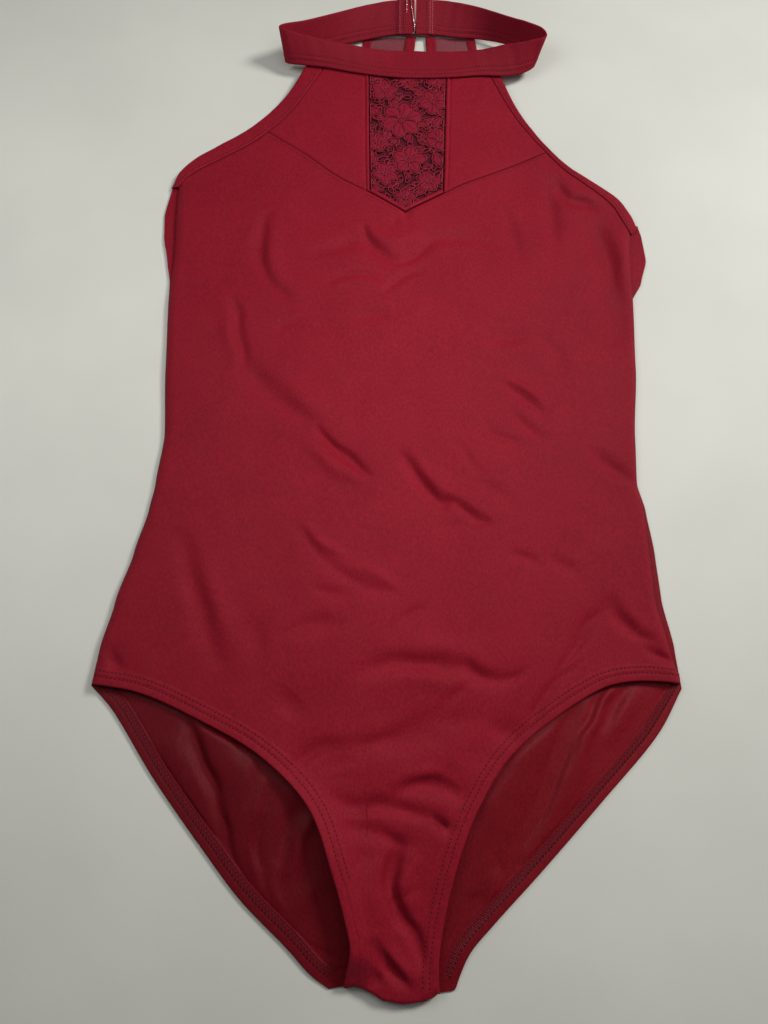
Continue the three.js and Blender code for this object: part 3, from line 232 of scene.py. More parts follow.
# Creases: a line with a sideways bow, half width and height
FOLD_COLUMNS = "x0 y0 x1 y1 bow wide high"
FRONT_FOLDS = table(
    FOLD_COLUMNS,
    (-14, 451, 6, 427, -4.8, 3.2, -1.7), (4, 426, 31, 439, -2.5, 3.5, -1.2),
    (28, 441, 77, 436, 5, 3.5, -0.9), (-45, 431, -13, 442, 1.4, 4.5, -0.8),
    (-14, 455, 21, 447, -9.7, 5, 0.7), (5, 458, 9, 455, -0.4, 1.6, -0.8),
    (10, 463, 16, 460, 0.7, 1.5, -0.7), (-36, 411, -5, 412, 3.8, 2.2, -0.8),
    (0, 402, 25, 418, 3.6, 2.4, -0.8), (-31, 407, -1, 406, 2.7, 3, 0.4),
    (-69, 378, -51, 382, 0.6, 3, -0.5), (-22, 383, 6, 385, 2.2, 4, -0.7),
    (64, 374, 92, 372, -1.9, 5, -0.7), (-78, 460, -64, 399, -10.2, 4.4, -1.3),
    (-71, 457, -59, 402, -9, 7, 0.7), (-99, 396, -89, 353, 2.5, 3.4, -1.5),
    (-104, 393, -94, 350, 1.9, 5, 0.5), (-86, 350, -42, 309, -1.9, 6, -0.9),
    (-78, 357, -29, 312, -2.1, 8, 0.6), (-40, 307, -9, 279, -1.7, 2.6, -1.7),
    (-47, 299, -13, 274, -1.8, 4, 0.7), (10, 289, 33, 259, 0.9, 3, -1.6),
    (32, 259, 39, 262, 0.4, 2, -0.9), (38, 263, 62, 248, -1.5, 2.6, -1.3),
    (17, 291, 56, 255, -2.9, 5, 0.8), (32, 245, 60, 248, 0, 2, -0.5), (76, 342, 100, 323, 1.3, 2, 0.7),
    (73, 339, 98, 318, -0.3, 2.4, -0.8), (79, 319, 94, 303, -0.4, 2.4, -0.7),
    (60, 312, 86, 299, -3.6, 2.6, -0.6), (44, 299, 62, 276, -0.3, 3, -0.5),
    (45, 281, 74, 261, -0.2, 3.5, -0.5), (100, 375, 112, 346, 0.3, 5, -0.6),
    (126, 293, 150, 273, -2, 4, -0.9), (-46, 246, -24, 229, -1, 3, 0.6),
    (-52, 245, -28, 216, 0.6, 4, -0.32), (-34, 224, 6, 207, -3.9, 3.5, -0.42),
    (-39, 208, -16, 206, -2.5, 3, -0.6), (-20, 222, 7, 210, 2.1, 3.5, 0.5),
    (-117, 237, -93, 170, -0.5, 6, -1.3), (-109, 231, -84, 170, -0.3, 8, 0.7),
    (-76, 193, -69, 170, 0.1, 6, -0.5), (-57, 183, -27, 190, 2, 3.5, -0.6),
    (7, 188, 24, 198, 1.3, 3, -0.5), (74, 231, 89, 224, 1.4, 3, -0.7), (96, 229, 109, 218, -1, 3, -0.5),
    (129, 202, 149, 180, -4.4, 3.5, -0.75), (137, 202, 154, 183, -2.8, 4, 0.4),
    (-11, 164, 46, 166, 2.9, 5.5, -1.3), (45, 166, 63, 158, -2.5, 3.5, -1.5),
    (63, 158, 77, 163, -1.5, 3, -0.9), (7, 173, 59, 167, 4.5, 7, 0.7), (-2, 157, 53, 155, 2.9, 8, 0.7),
    (78, 132, 103, 164, 1.9, 2.8, -1.3), (90, 152, 116, 183, 1.6, 2.6, -1),
    (84, 142, 109, 175, 1.3, 3, 0.8), (105, 174, 127, 201, 0.6, 4, -0.7),
    (11, 130, 45, 138, 2.9, 6, -0.8), (-5, 119, 30, 128, 3.1, 6, -0.9), (33, 144, 48, 155, 0.9, 3, -0.5),
    (59, 135, 75, 127, -1.1, 6, -0.9), (6, 98, 42, 99, 4.7, 4, -1.3), (25, 112, 45, 104, 1.1, 3, -0.6),
    (6, 105, 40, 105, 3.3, 5, 0.6), (-28, 91, 25, 87, 3.9, 3.4, -1.4), (26, 87, 35, 80, -0.1, 2.5, -1),
    (146, 176, 163, 169, -1.4, 2.6, -1), (129, 198, 145, 186, -2.6, 4, -0.6),
    (-153, 173, -147, 165, -0.8, 3, -1), (-48, 112, -23, 123, 2.3, 3, -1.5),
    (-23, 123, 9, 130, -1.3, 4.5, -1), (-42, 109, -14, 117, 3.1, 3.5, -0.9),
    (-44, 111, -17, 120, 2.6, 3, 0.6), (-32, 97, -10, 92, 1, 3.6, -0.6),
    (-22, 82, -1, 78, 1.2, 4.2, -0.8), (-2, 78, 13, 74, -1.3, 3.6, -1.0), (-18, 65, -5, 68, 0.9, 4.2, -0.45),
    (-56, 139, -48, 149, 0.5, 8, -0.7), (15, 102, 41, 99, 2.1, 4, -0.9),
    (116, 484, 125, 472, -1.2, 3.6, -2.2), (124, 472, 139, 466, 1.5, 3.4, -2.2),
    (136, 458, 146, 405, 2, 8, -2.2), (146, 412, 144, 362, 3, 9, -1.3), (152, 448, 156, 400, 2, 6, 0.8),
    (109, 487, 113, 436, 1, 4.5, -0.9), (80, 462, 87, 428, 0.8, 4.5, -0.7),
    (28, 84, 33, 81, -0.2, 2, -0.9), (7, 72, 5, 50, -2.1, 3.6, -2.5), (5, 50, 15, 34, -1.9, 3.2, -2.8),
    (14, 36, 19, 20, 0.5, 3, -1.9), (14, 66, 16, 42, -3.7, 5, 1.1), (-3, 69, -1, 35, -2.8, 6, 1.1),
    (-5, 27, 14, 3, -1, 3, -2.4), (2, 24, 17, 9, -1.4, 5, 0.8), (-5, 14, -4, 7, 0.8, 1.8, -0.9),
    (9, 48, 17, 52, 0.2, 2.5, -0.5),
)
BACK_FOLDS = table(
    FOLD_COLUMNS,
    (-116, 123, -92, 86, 0, 6, 2.2), (-99, 135, -78, 91, 2.9, 8, 2.2), (-109, 138, -84, 83, 0, 3.5, -1.4),
    (-83, 91, -73, 54, -5.3, 3.5, -1.6), (-74, 115, -71, 60, -5.5, 5, 1.8),
    (-65, 105, -60, 46, -7.6, 2.4, 1.2), (-58, 65, -54, 42, -2.1, 2.2, 1),
    (-66, 86, -63, 50, -2, 2, -0.8), (-36, 91, -50, 61, -0.9, 3.5, 1.3),
    (-44, 96, -55, 68, -1.4, 4, -0.8), (-111, 129, -117, 113, -0.1, 3, 1),
    (-36, 55, -49, 37, -0.4, 4, 0.9), (-42, 27, -26, 21, -2.3, 1.6, -1), (105, 142, 69, 65, 2.8, 6, -1.6),
    (112, 139, 76, 68, 3.2, 5, 2.2), (126, 152, 102, 91, -5.2, 2.4, 1.6),
    (121, 151, 101, 104, -3.4, 3, -1), (137, 155, 122, 134, -0.1, 3.5, -1),
    (141, 152, 124, 128, -0.7, 5, 1.2), (60, 65, 60, 46, 4.2, 2.4, -1), (55, 63, 56, 46, 2.1, 4, 1),
    (51, 48, 44, 39, -0.9, 3, -0.8), (70, 66, 69, 53, -1.4, 2.5, -1.3), (84, 134, 57, 78, -3.9, 12, 1.2),
    (159, 155, 151, 142, 1.5, 4, -0.8),
)

# Motifs of the lace: flowers of puffed petals, and leaves along a direction in degrees
LACE_FLOWERS = table(
    "x y radius petals turn",
    (34, 553, 11, 5, 48), (0, 563, 10, 5, 10), (37, 573, 8, 5, 60), (17, 572, 7.5, 5, 35),
    (30, 487, 9, 5, 12), (14, 474, 8, 5, 18), (1, 494, 9.5, 5, 50), (38, 522, 10, 6, 30),
    (-4, 519, 8.5, 5, 0), (17, 505, 12, 5, 84), (12, 538, 15, 6, 20),
)
LACE_LEAVES = table(
    "x y long wide turn",
    (36, 536, 7, 3, 62), (-6, 544, 7, 3.4, 118), (36, 505, 7, 3.2, 100), (24, 563, 6, 2.8, 152),
    (28, 575, 6, 2.6, 24), (-7, 505, 6, 2.6, 80), (27, 522, 6, 2.8, 130), (24, 479, 6, 2.6, 30),
    (-5, 482, 5, 2.4, 150), (8, 556, 6, 2.8, 40), (-7, 574, 5, 2.2, 30), (41, 563, 5, 2.2, 100),
    (5, 485, 5, 2.2, 20), (40, 493, 5, 2.2, 60), (5, 520, 6, 2.6, 15), (29, 538, 5, 2.4, 20),
)

LACE_BARS = table(
    "x0 y0 x1 y1 bow",
    (-10, 571, 0, 575, 0.8), (-10, 566, -1, 571, 0.9), (-10, 557, -2, 561, 1.1), (-10, 549, -1, 547, 1.0),
    (-10, 545, -1, 543, 0.9), (-10, 541, 0, 539, 0.8), (-10, 531, -2, 533, 1.2), (-10, 527, -3, 526, 0.7),
    (-10, 513, -3, 513, 0.8), (-10, 509, -4, 508, 0.7), (44, 574, 36, 571, 0.7), (44, 569, 36, 567, 0.8),
    (44, 564, 37, 563, 0.6), (44, 549, 37, 547, 0.7), (44, 534, 38, 532, 0.6), (44, 514, 39, 512, 0.6),
)
LACE_SEED = 11
# Width of the groove round each motif, which also carries painted shade
LACE_GAP = 0.75
LACE_PUFF = 0.42
LACE_VEIN = 0.2
LACE_GROOVE = 0.3
CORD_RADIUS = 0.3
LACE_WANDER = 0.9, 6, 21.5  # how far the motifs' outlines wander, the size of the waves and their seed
SMALL_LEAF_SPACING = 6.2
SMALL_LEAF_SKIP = 0.16


def smooth_step(value, low, high):
    t = np.clip((value - low) / (high - low), 0, 1)
    return t * t * (3 - 2 * t)


def read_table(source, key, at, value):
    """One column of a table by another, part straight and part eased between rows."""
    keys, values = source[key], source[value]
    at = np.asarray(at, float)
    after = np.clip(np.searchsorted(keys, at), 1, len(keys) - 1)
    straight = np.clip((at - keys[after - 1]) / (keys[after] - keys[after - 1]), 0, 1)
    eased = straight + (smooth_step(straight, 0, 1) - straight) * EASE_SHARE
    return values[after - 1] + eased * (values[after] - values[after - 1])


def columns_of(source, *names):
    """Columns of a table side by side, all of them where none is named."""
    return np.stack([source[name] for name in names or source], axis=1)


def row_curve(points):
    """Smooth curve through points, a function of the row number."""
    ends = 2 * points[:1] - points[1:2], 2 * points[-1:] - points[-2:-1]
    spread = np.concatenate([ends[0], points, ends[1]])

    def at_row(row):
        row = np.clip(np.asarray(row, float), 0, len(points) - 1)
        i = np.minimum(row.astype(int), len(points) - 2)
        share = (row - i)[..., None]
        p0, p1, p2, p3 = (spread[i + k] for k in range(4))
        d0, d1, d2 = (
            np.sqrt(np.linalg.norm(b - a, axis=-1, keepdims=True)) for a, b in ((p0, p1), (p1, p2), (p2, p3))
        )
        leave = ((p1 - p0) / d0 - (p2 - p0) / (d0 + d1) + (p2 - p1) / d1) * d1
        arrive = ((p2 - p1) / d1 - (p3 - p1) / (d1 + d2) + (p3 - p2) / d2) * d1
        square = -3 * p1 + 3 * p2 - 2 * leave - arrive
        cube = 2 * p1 - 2 * p2 + leave + arrive
        return p1 + leave * share + square * share**2 + cube * share**3

    return at_row


def even_curve(points, samples=2000):
    """Smooth curve through points, a function of the share of its length."""
    curve = row_curve(points)
    rows = np.linspace(0, len(points) - 1, samples)
    reach = path_lengths(curve(rows))
    return lambda share: curve(np.interp(np.asarray(share) * reach[-1], reach, rows))


def path_lengths(points):
    return np.concatenate([[0], np.cumsum(np.linalg.norm(np.diff(points, axis=0), axis=1))])


def fold_height(folds, x, y):
    height = np.zeros(np.broadcast(x, y).shape)
    for x0, y0, x1, y1, bow, wide, high in columns_of(folds):
        dx, dy = x1 - x0, y1 - y0
        length = math.hypot(dx, dy)
        along = ((x - x0) * dx + (y - y0) * dy) / length**2
        across = ((y - y0) * dx - (x - x0) * dy) / length
        inside = np.clip(along, 0, 1)
        past = (along - inside) * length
        off = across - bow * 4 * inside * (1 - inside)
        swell = FOLD_END_SHARE + (1 - FOLD_END_SHARE) * np.sin(np.pi * inside)
        height += high * swell * np.exp(-(off**2 + past**2) / max(wide, LEAST_FOLD_WIDTH) ** 2)
    return height


def unevenness(x, y, size, seed):
    """Soft random relief from -1 to 1 with bumps of about that size."""
    flat_x, flat_y = np.broadcast_arrays(x, y)
    places = zip(flat_x.ravel() / size, flat_y.ravel() / size)
    values = [noise.noise(Vector((a, b, seed))) for a, b in places]
    return np.array(values).reshape(flat_x.shape)


def wander(x, y, amount, size, seed):
    """Points shifted a little at random, so that what is drawn at them runs less straight."""
    return x + amount * unevenness(x, y, size, seed), y + amount * unevenness(x, y, size, seed + 40)


def soft_folds(folds, x, y, shift, scale, limit):
    """Fold heights along wandering lines, levelled off towards the limit."""
    high = scale * fold_height(folds, *wander(x, y, *shift))
    return limit * np.tanh(high / limit)


def front_height(x, y):
    """Height of the front's outer face: it rises to just under the neckband."""
    rise = read_table(FRONT_RISE, "y", y, "top")
    band_floor = read_table(FRONT_BAND, "foot_x", x, "foot_z") - BAND_WALL / 2 - BAND_GAP
    neck = smooth_step(y, *NECK_RISE)
    calm = smooth_step(y, *CROTCH_CALM) * (1 - neck)
    folds = soft_folds(FRONT_FOLDS, x, y, FRONT_FOLD_WANDER, FRONT_FOLD_SCALE, FRONT_FOLD_LIMIT)
    puff = TORSO_PUFF * smooth_step(y, *PUFF_START) * (1 - smooth_step(y, *PUFF_END))
    swell = sum(high * unevenness(x, y, size, seed) for high, size, seed in FRONT_SWELLS)
    level = rise + puff + (band_floor - rise) * neck + (folds + swell) * calm
    return LEAST_FRONT + np.logaddexp(0, (level - LEAST_FRONT) * 2) / 2


def stacked(*parts):
    return np.stack(np.broadcast_arrays(*parts), axis=-1)


# Body panels: a column number runs along the leg edge, and a row number from 0 to 1 across the hem
# and from 1 to 2 on to the top edge
def joined_curve(pieces):
    """One curve from (first column, last column, curve, its start, its end) pieces."""

    def at_column(column):
        column = np.asarray(column, float)
        out = np.zeros((*column.shape, 2))
        for first, last, curve, start, end in pieces:
            here = (column >= first) & (column <= last)
            share = (column[here] - first) / (last - first)
            out[here] = curve(start + (end - start) * share)
        return out

    return at_column


class BodyPanel:
    def __init__(self, bottom, top, last, left_key, right_key, hem_places=()):
        self.bottom = bottom
        self.top = top
        self.last = last
        self.left_key = left_key
        self.right_key = right_key
        whole = np.arange(last + 1)
        points = bottom(whole)
        along = np.gradient(points, axis=0)
        normals = np.stack([-along[:, 1], along[:, 0]], axis=1)
        for end, key in ((0, left_key), (-1, right_key)):
            side = read_table(SIDE_EDGES, "y", points[end, 1] + HEM_WIDTH, key) - points[end, 0]
            normals[end] = side, HEM_WIDTH
        self.normals = normals / np.linalg.norm(normals, axis=1, keepdims=True)
        for column, x, y in hem_places:
            self.normals[column] = (np.array([x, y]) - points[column]) / HEM_WIDTH
        self.whole = whole

    def flat(self, column, row):
        """Place on the pressed panel."""
        column, row = np.broadcast_arrays(np.asarray(column, float), np.asarray(row, float))
        normal = np.stack([np.interp(column, self.whole, self.normals[:, k]) for k in (0, 1)], axis=-1)
        bottom, top = self.bottom(column), self.top(column)
        hem = bottom + normal * HEM_WIDTH
        t = np.clip(row - 1, 0, 1)
        share = ((1 - ROW_BUNCHING) * t + ROW_BUNCHING * t * t)[..., None]
        point = hem + (top - hem) * share
        across = column / self.last
        bend = self.bend(point[..., 1], 0, self.left_key) * (1 - across) ** 3
        bend += self.bend(point[..., 1], self.last, self.right_key) * across**3
        point[..., 0] += bend
        below = (row < 1)[..., None]
        return np.where(below, bottom + normal * HEM_WIDTH * row[..., None], point)

    def bend(self, y, column, key):
        """How far the side edge lies from a straight line between its ends."""
        start = (self.bottom(np.array([column]))[0] + self.normals[column] * HEM_WIDTH)[1]
        end = self.top(np.array([float(column)]))[0][1]
        y = np.clip(y, start, end)
        from_x, to_x = (read_table(SIDE_EDGES, "y", at, key) for at in (start, end))
        return read_table(SIDE_EDGES, "y", y, key) - from_x - (to_x - from_x) * (y - start) / (end - start)


def straight_line(start, end):
    return lambda share: start + (end - start) * np.asarray(share)[..., None]


armhole_left_in, armhole_left_out, armhole_right_in, armhole_right_out = (
    row_curve(columns_of(armhole, f"{edge}_x", f"{edge}_y"))
    for armhole in (ARMHOLE_LEFT, ARMHOLE_RIGHT) for edge in ("in", "out")
)
seam_points = columns_of(BODICE_SEAM)
bodice_left = row_curve(seam_points[: POINT_ROW + 1])
bodice_right = row_curve(seam_points[POINT_ROW:])
neckline = row_curve(columns_of(NECKLINE))
front_leg_left, front_leg_right, back_leg_left, back_leg_right = (
    even_curve(columns_of(leg)) for leg in (FRONT_LEG_LEFT, FRONT_LEG_RIGHT, BACK_LEG_LEFT, BACK_LEG_RIGHT)
)

LIP_START, LIP_END, FRONT_LAST = 11, 16, 26
# Column, x and y where the hem's inner line ends at the crotch
LIP_HEM = (11, -5.5, 3), (12, -2.6, 5), (13, 2.2, 7), (14, 7.6, 7.5), (15, 13.5, 6), (16, 16.0, 3)
lip_line = straight_line(front_leg_left(1.0), front_leg_right(1.0))
front_panel = BodyPanel(
    joined_curve([
        (0, LIP_START, front_leg_left, 0, 1),
        (LIP_START, LIP_END, lip_line, 0, 1),
        (LIP_END, FRONT_LAST, front_leg_right, 1, 0),
    ]),
    joined_curve([
        (0, 6, armhole_left_in, 0, SEAM_ROW),
        (6, 11, bodice_left, 0, LACE_LEFT_ROW),
        (11, 13, bodice_left, LACE_LEFT_ROW, POINT_ROW),
        (13, 15, bodice_right, 0, LACE_RIGHT_ROW - POINT_ROW),
        (15, 19, bodice_right, LACE_RIGHT_ROW - POINT_ROW, LAST_SEAM_ROW - POINT_ROW),
        (19, FRONT_LAST, armhole_right_in, SEAM_ROW, 0),
    ]),
    FRONT_LAST, "left", "right", LIP_HEM,
)

BACK_LEG_COLUMNS, BACK_LAST = 10, 26


def back_crotch(share):
    left, right = back_leg_left(1.0)[0], back_leg_right(1.0)[0]
    x = left + (right - left) * np.asarray(share)
    return stacked(x, read_table(CROTCH_FOLD, "x", x, "y") + CROTCH_INSET)


back_panel = BodyPanel(
    joined_curve([
        (0, BACK_LEG_COLUMNS, back_leg_left, 0, 1),
        (BACK_LEG_COLUMNS, BACK_LAST - BACK_LEG_COLUMNS, back_crotch, 0, 1),
        (BACK_LAST - BACK_LEG_COLUMNS, BACK_LAST, back_leg_right, 1, 0),
    ]),
    joined_curve([
        (0, 8, even_curve(columns_of(BACK_ARMHOLE_LEFT)), 0, 1),
        (8, 18, straight_line(np.array([-62.0, 500]), np.array([88.0, 500])), 0, 1),
        (18, BACK_LAST, even_curve(columns_of(BACK_ARMHOLE_RIGHT)), 1, 0),
    ]),
    BACK_LAST, "back_left", "back_right",
)

# Depths from the edge where a hem needs rows: its rounded fold, its two needle rows and its raw edge
HEM_DEPTHS = np.array([
    0, 0.08, 0.25, 0.5, 0.85, 1.4, 2.2, 3.2, 3.9, 4.4, 4.9, 5.5, 6.2, 7.0, 7.6, 8.2, 8.7, 9.1, 9.5, 10.5
])


def fold_round(depth, radius):
    """Share by which a folded edge is lower than its crest."""
    return 1 - np.sqrt(1 - np.clip(1 - depth / radius, 0, 1) ** 2)


def groove(distance, half_width, deep):
    return -deep * np.exp(-((distance / half_width) ** 2))


def hem_relief(depth):
    """Needle rows drawn down, and the folded allowance a little raised between and before them."""
    rows = groove(depth - HEM_ROW_LOW, 0.55, 0.28) + groove(depth - HEM_ROW_LOW - NEEDLE_GAP, 0.55, 0.24)
    return rows + 0.3 * (1 - smooth_step(depth, 8.2, 9.6))


def leg_share(column, start, end):
    """1 along the legs and 0 between the two crotch corners."""
    before = 1 - smooth_step(column, start - 0.7, start + 0.1)
    after = smooth_step(column, end - 0.1, end + 0.7)
    return np.maximum(before, after)


def rows_upward(leg):
    keep = leg["y"] < LEG_TOP
    return {name: values[keep][::-1] for name, values in leg.items()}


def leg_lift(x, y):
    along = smooth_step(y, 8, 26) * (1 - smooth_step(y, 70, 128))
    edge = read_table(rows_upward(FRONT_LEG_LEFT), "y", y, "x")
    return LEG_LIFT * along * np.exp(-((np.maximum(x - edge, 0) / 17) ** 2))


def front_surface(column, row, inner=False):
    """Outer or inner face of the front body."""
    flat = front_panel.flat(column, row)
    column, row = np.broadcast_arrays(np.asarray(column, float), np.asarray(row, float))
    x, y = flat[..., 0], flat[..., 1]
    depth = row * HEM_WIDTH
    leg = leg_share(column, LIP_START, LIP_END)
    hem = leg * (1 - smooth_step(depth, 8.6, 9.6))
    wall = CLOTH_WALL + (HEM_WALL - CLOTH_WALL) * hem
    fold = read_table(CROTCH_FOLD, "x", x, "y")
    rolled = (y < CROTCH_ROLL)
    angle = np.pi / 2 * np.clip(y / CROTCH_ROLL, -1, 1)
    radius = CROTCH_ROLL - (np.minimum(wall, CROTCH_ROLL - LEAST_ROLL) if inner else 0)
    past = np.maximum(0, -y - CROTCH_ROLL)
    roll = stacked(
        x, fold + CROTCH_ROLL - radius * np.cos(angle) + past,
        SIDE_EDGE_HEIGHT + CROTCH_ROLL + radius * np.sin(angle),
    )
    y = y + fold * (1 - smooth_step(y, *CROTCH_SHIFT))
    high = front_height(x, y) + leg_lift(x, y)
    edge = read_table(SIDE_REST, "y", y, "z")
    left = x - front_panel.flat(0, row)[..., 0]
    right = front_panel.flat(FRONT_LAST, row)[..., 0] - x
    left_cos = np.clip(1 - left / SIDE_ROLL, 0, 1)
    right_cos = np.clip(1 - right / SIDE_ROLL, 0, 1)
    sine = np.sqrt(1 - np.maximum(left_cos, right_cos) ** 2)
    relief = hem_relief(depth) * leg * np.where(row <= 1, 1, 0)
    to_top = np.linalg.norm(flat - front_panel.top(column), axis=-1)
    relief = relief + groove(to_top, 0.7, 0.75) + 0.22 * np.exp(-(((to_top - 1.5) / 0.8) ** 2))
    relief = relief + groove(to_top - 2.6, 0.5, 0.16)
    tuck = fold_round(depth, wall / 2) * wall / 2 * leg
    if inner:
        z = edge + (high - wall - edge) * sine + tuck
        return np.where(rolled[..., None], roll, stacked(x + wall * (left_cos - right_cos), y, z))
    z = edge + (high + relief - edge) * sine - tuck
    return np.where(rolled[..., None], roll, stacked(x, y, z))


def exposed(x, y):
    """1 where the leg openings show the back, down to a little under the front."""
    left, right = (read_table(rows_upward(leg), "y", y, "x") for leg in (FRONT_LEG_LEFT, FRONT_LEG_RIGHT))
    outside = np.maximum(smooth_step(left - x, -3, 7), smooth_step(x - right, -3, 7))
    return 0.25 + 0.75 * outside * (1 - smooth_step(y, 150, 165))


def back_surface(column, row, inner=False):
    """Upper or under face of the back body, which lies on the surface."""
    flat = back_panel.flat(column, row)
    column, row = np.broadcast_arrays(np.asarray(column, float), np.asarray(row, float))
    x, y = flat[..., 0], flat[..., 1]
    depth = row * HEM_WIDTH
    leg = leg_share(column, BACK_LEG_COLUMNS, BACK_LAST - BACK_LEG_COLUMNS)
    folds = soft_folds(BACK_FOLDS, x, y, BACK_FOLD_WANDER, BACK_FOLD_SCALE, BACK_FOLD_LIMIT)
    ridge = np.maximum(0, folds + BACK_SLACK)
    lift = ridge * smooth_step(depth, 8.5, 14) * exposed(x, y)
    if inner:
        tuck = fold_round(depth, HEM_WALL / 2) * HEM_WALL / 2 * leg
        return stacked(x, y, lift + tuck)
    hem = leg * (1 - smooth_step(depth, 8.7, 9.2))
    fine = 0.3 * unevenness(x, y, 20, 7.7) * smooth_step(depth, 9, 20)
    rows = groove(depth - HEM_ROW_LOW, 0.5, 0.2) + groove(depth - HEM_ROW_LOW - NEEDLE_GAP, 0.5, 0.2)
    z = SOLID_WALL + lift + np.maximum(fine, -0.5) + (HEM_WALL - CLOTH_WALL + rows) * hem
    tuck = fold_round(depth, HEM_WALL / 2) * HEM_WALL / 2 * leg
    return stacked(x, y, z - tuck)


# Meshes
def add_object(name, data):
    made = bpy.data.objects.new(name, data)
    bpy.context.scene.collection.objects.link(made)
    return made


def new_object(name, points, faces, materials, face_materials=None, weave=None):
    """Mesh object from points in garment millimetres."""
    mesh = bpy.data.meshes.new(name)
    mesh.from_pydata(((points - ORIGIN) * MM).tolist(), [], faces)
    for material in materials:
        mesh.materials.append(material)
    if face_materials is not None:
        mesh.polygons.foreach_set("material_index", face_materials)
    if weave is None:
        weave = points
    attribute = mesh.attributes.new("weave", "FLOAT_VECTOR", "POINT")
    attribute.data.foreach_set("vector", np.asarray(weave, np.float32).ravel())
    mesh.validate()
    mesh.shade_smooth()
    mesh.set_sharp_from_angle(angle=math.radians(60))
    mesh.update()
    return add_object(name, mesh)


def grid_quads(rows, columns):
    number = np.arange(rows * columns).reshape(rows, columns)
    corners = number[:-1, :-1], number[:-1, 1:], number[1:, 1:], number[1:, :-1]
    return np.stack(corners, axis=-1).reshape(-1, 4)


def shell(name, outer, inner, material, weave=None):
    """Closed wall between two grids of points; the inner grid may have half as many steps."""
    rows, columns = outer.shape[:2]
    low_rows, low_columns = inner.shape[:2]
    step = (rows - 1) // (low_rows - 1)
    up = np.arange(rows * columns).reshape(rows, columns)
    low = np.arange(low_rows * low_columns).reshape(low_rows, low_columns) + rows * columns

    def band(a, b):
        spans = [a[k : len(a) - step + k : step] for k in range(step)] + [a[step::step]]
        return np.stack([*spans[::-1], b[:-1], b[1:]], axis=-1).tolist()

    faces = grid_quads(rows, columns).tolist()
    faces += (grid_quads(low_rows, low_columns)[:, ::-1] + rows * columns).tolist()
    faces += band(up[0], low[0]) + band(up[-1, ::-1], low[-1, ::-1])
    faces += band(up[::-1, 0], low[::-1, 0]) + band(up[:, -1], low[:, -1])
    points = np.concatenate([outer.reshape(-1, 3), inner.reshape(-1, 3)])
    if weave is not None:
        weave = np.concatenate([weave.reshape(-1, 3), weave[::step, ::step].reshape(-1, 3)])
    return new_object(name, points, faces, [material], weave=weave)


def kept_under(inner, outer, wall, near=1):
    """Inner grid of half the steps, lowered where the outer grid dips within so many points."""
    padded = np.pad(outer[..., 2], near, mode="edge")
    rows, columns = outer.shape[:2]
    steps = range(2 * near + 1)
    lowest = np.min([padded[i : i + rows, j : j + columns] for i in steps for j in steps], axis=0)
    inner[..., 2] = np.minimum(inner[..., 2], np.maximum(lowest[::2, ::2] - wall, 0))
    return inner


def unit(vectors):
    return vectors / np.maximum(np.linalg.norm(vectors, axis=-1, keepdims=True), 1e-9)


def tubes(lines, radii, sides=6):
    """Points and faces of closed tubes, all with as many rings as the lines have points."""
    lines = np.asarray(lines, float)
    count, rings = lines.shape[:2]
    along = unit(np.gradient(lines, axis=1))
    aside = unit(np.cross(along, np.array([0.1, 0.2, 1.0])))
    above = np.cross(aside, along)
    turn = np.linspace(0, 2 * np.pi, sides, endpoint=False)
    ring = aside[:, :, None] * np.cos(turn)[:, None] + above[:, :, None] * np.sin(turn)[:, None]
    radii = np.broadcast_to(np.asarray(radii, float), (count, rings))
    points = lines[:, :, None] + ring * radii[:, :, None, None]
    number = np.arange(count * rings * sides).reshape(count, rings, sides)
    turned = np.roll(number, -1, axis=2)
    sides_of = np.stack([number[:, :-1], turned[:, :-1], turned[:, 1:], number[:, 1:]], axis=-1)
    faces = sides_of.reshape(-1, 4).tolist()
    faces += number[:, 0, ::-1].tolist() + number[:, -1].tolist()
    return points.reshape(-1, 3), faces


class Threads:
    """Many small stitches joined in one mesh: thread on top, and between them the needle holes in a
    near-black material that paints their shade.
    """

    def __init__(self):
        self.points, self.faces, self.kinds, self.total = [], [], [], 0

    def add(self, points, faces, kind):
        self.points.append(points)
        self.faces += [[i + self.total for i in face] for face in faces]
        self.kinds += [kind] * len(faces)
        self.total += len(points)

    def build(self, name, materials):
        points = np.concatenate(self.points)
        return new_object(name, points, self.faces, materials, self.kinds)


def surface_path(surface, columns, rows):
    """Dense points along a path on a surface, and the surface's normals there."""
    step = 0.01
    over = surface(columns + step, rows) - surface(columns - step, rows)
    up = surface(columns, rows + step) - surface(columns, rows - step)
    return surface(columns, rows), unit(np.cross(over, up))


def upright(points):
    """Points on cloth that lies nearly level, with straight up as their normals."""
    return points, np.broadcast_to(np.array([0.0, 0.0, 1.0]), points.shape)


def at_length(reach, values, where):
    return np.stack([np.interp(where, reach, values[:, k]) for k in range(3)], axis=-1)


def stitch(threads, points, normals, pitch=STITCH_PITCH, radius=0.22, share=0.5, hole=0.34):
    """A row of lockstitches along points that lie on a surface."""
    reach = path_lengths(points)
    count = max(int(reach[-1] / pitch), 1)
    pitch = reach[-1] / count
    swing = np.linspace(-0.5, 0.5, 5)
    where = (np.arange(count)[:, None] + 0.5 + swing * share) * pitch
    arch = np.cos(np.pi * swing)
    lift = at_length(reach, normals, where) * (radius * (1.15 * arch - 0.55))[:, None]
    threads.add(*tubes(at_length(reach, points, where) + lift, radius * (0.6 + 0.4 * arch)), 0)
    # Needle holes: small sunk tubes whose near-black material is painted shade
    if hole:
        centre = np.arange(1, count) * pitch
        reach_out = np.array([-1.8, -1.1, 1.1, 1.8]) * hole
        lines = at_length(reach, points, centre[:, None] + reach_out)
        thin = np.array([0.2, 1, 1, 0.2]) * hole
        down = at_length(reach, normals, centre)[:, None] * (hole * 0.6)
        threads.add(*tubes(lines - down, thin), 1)


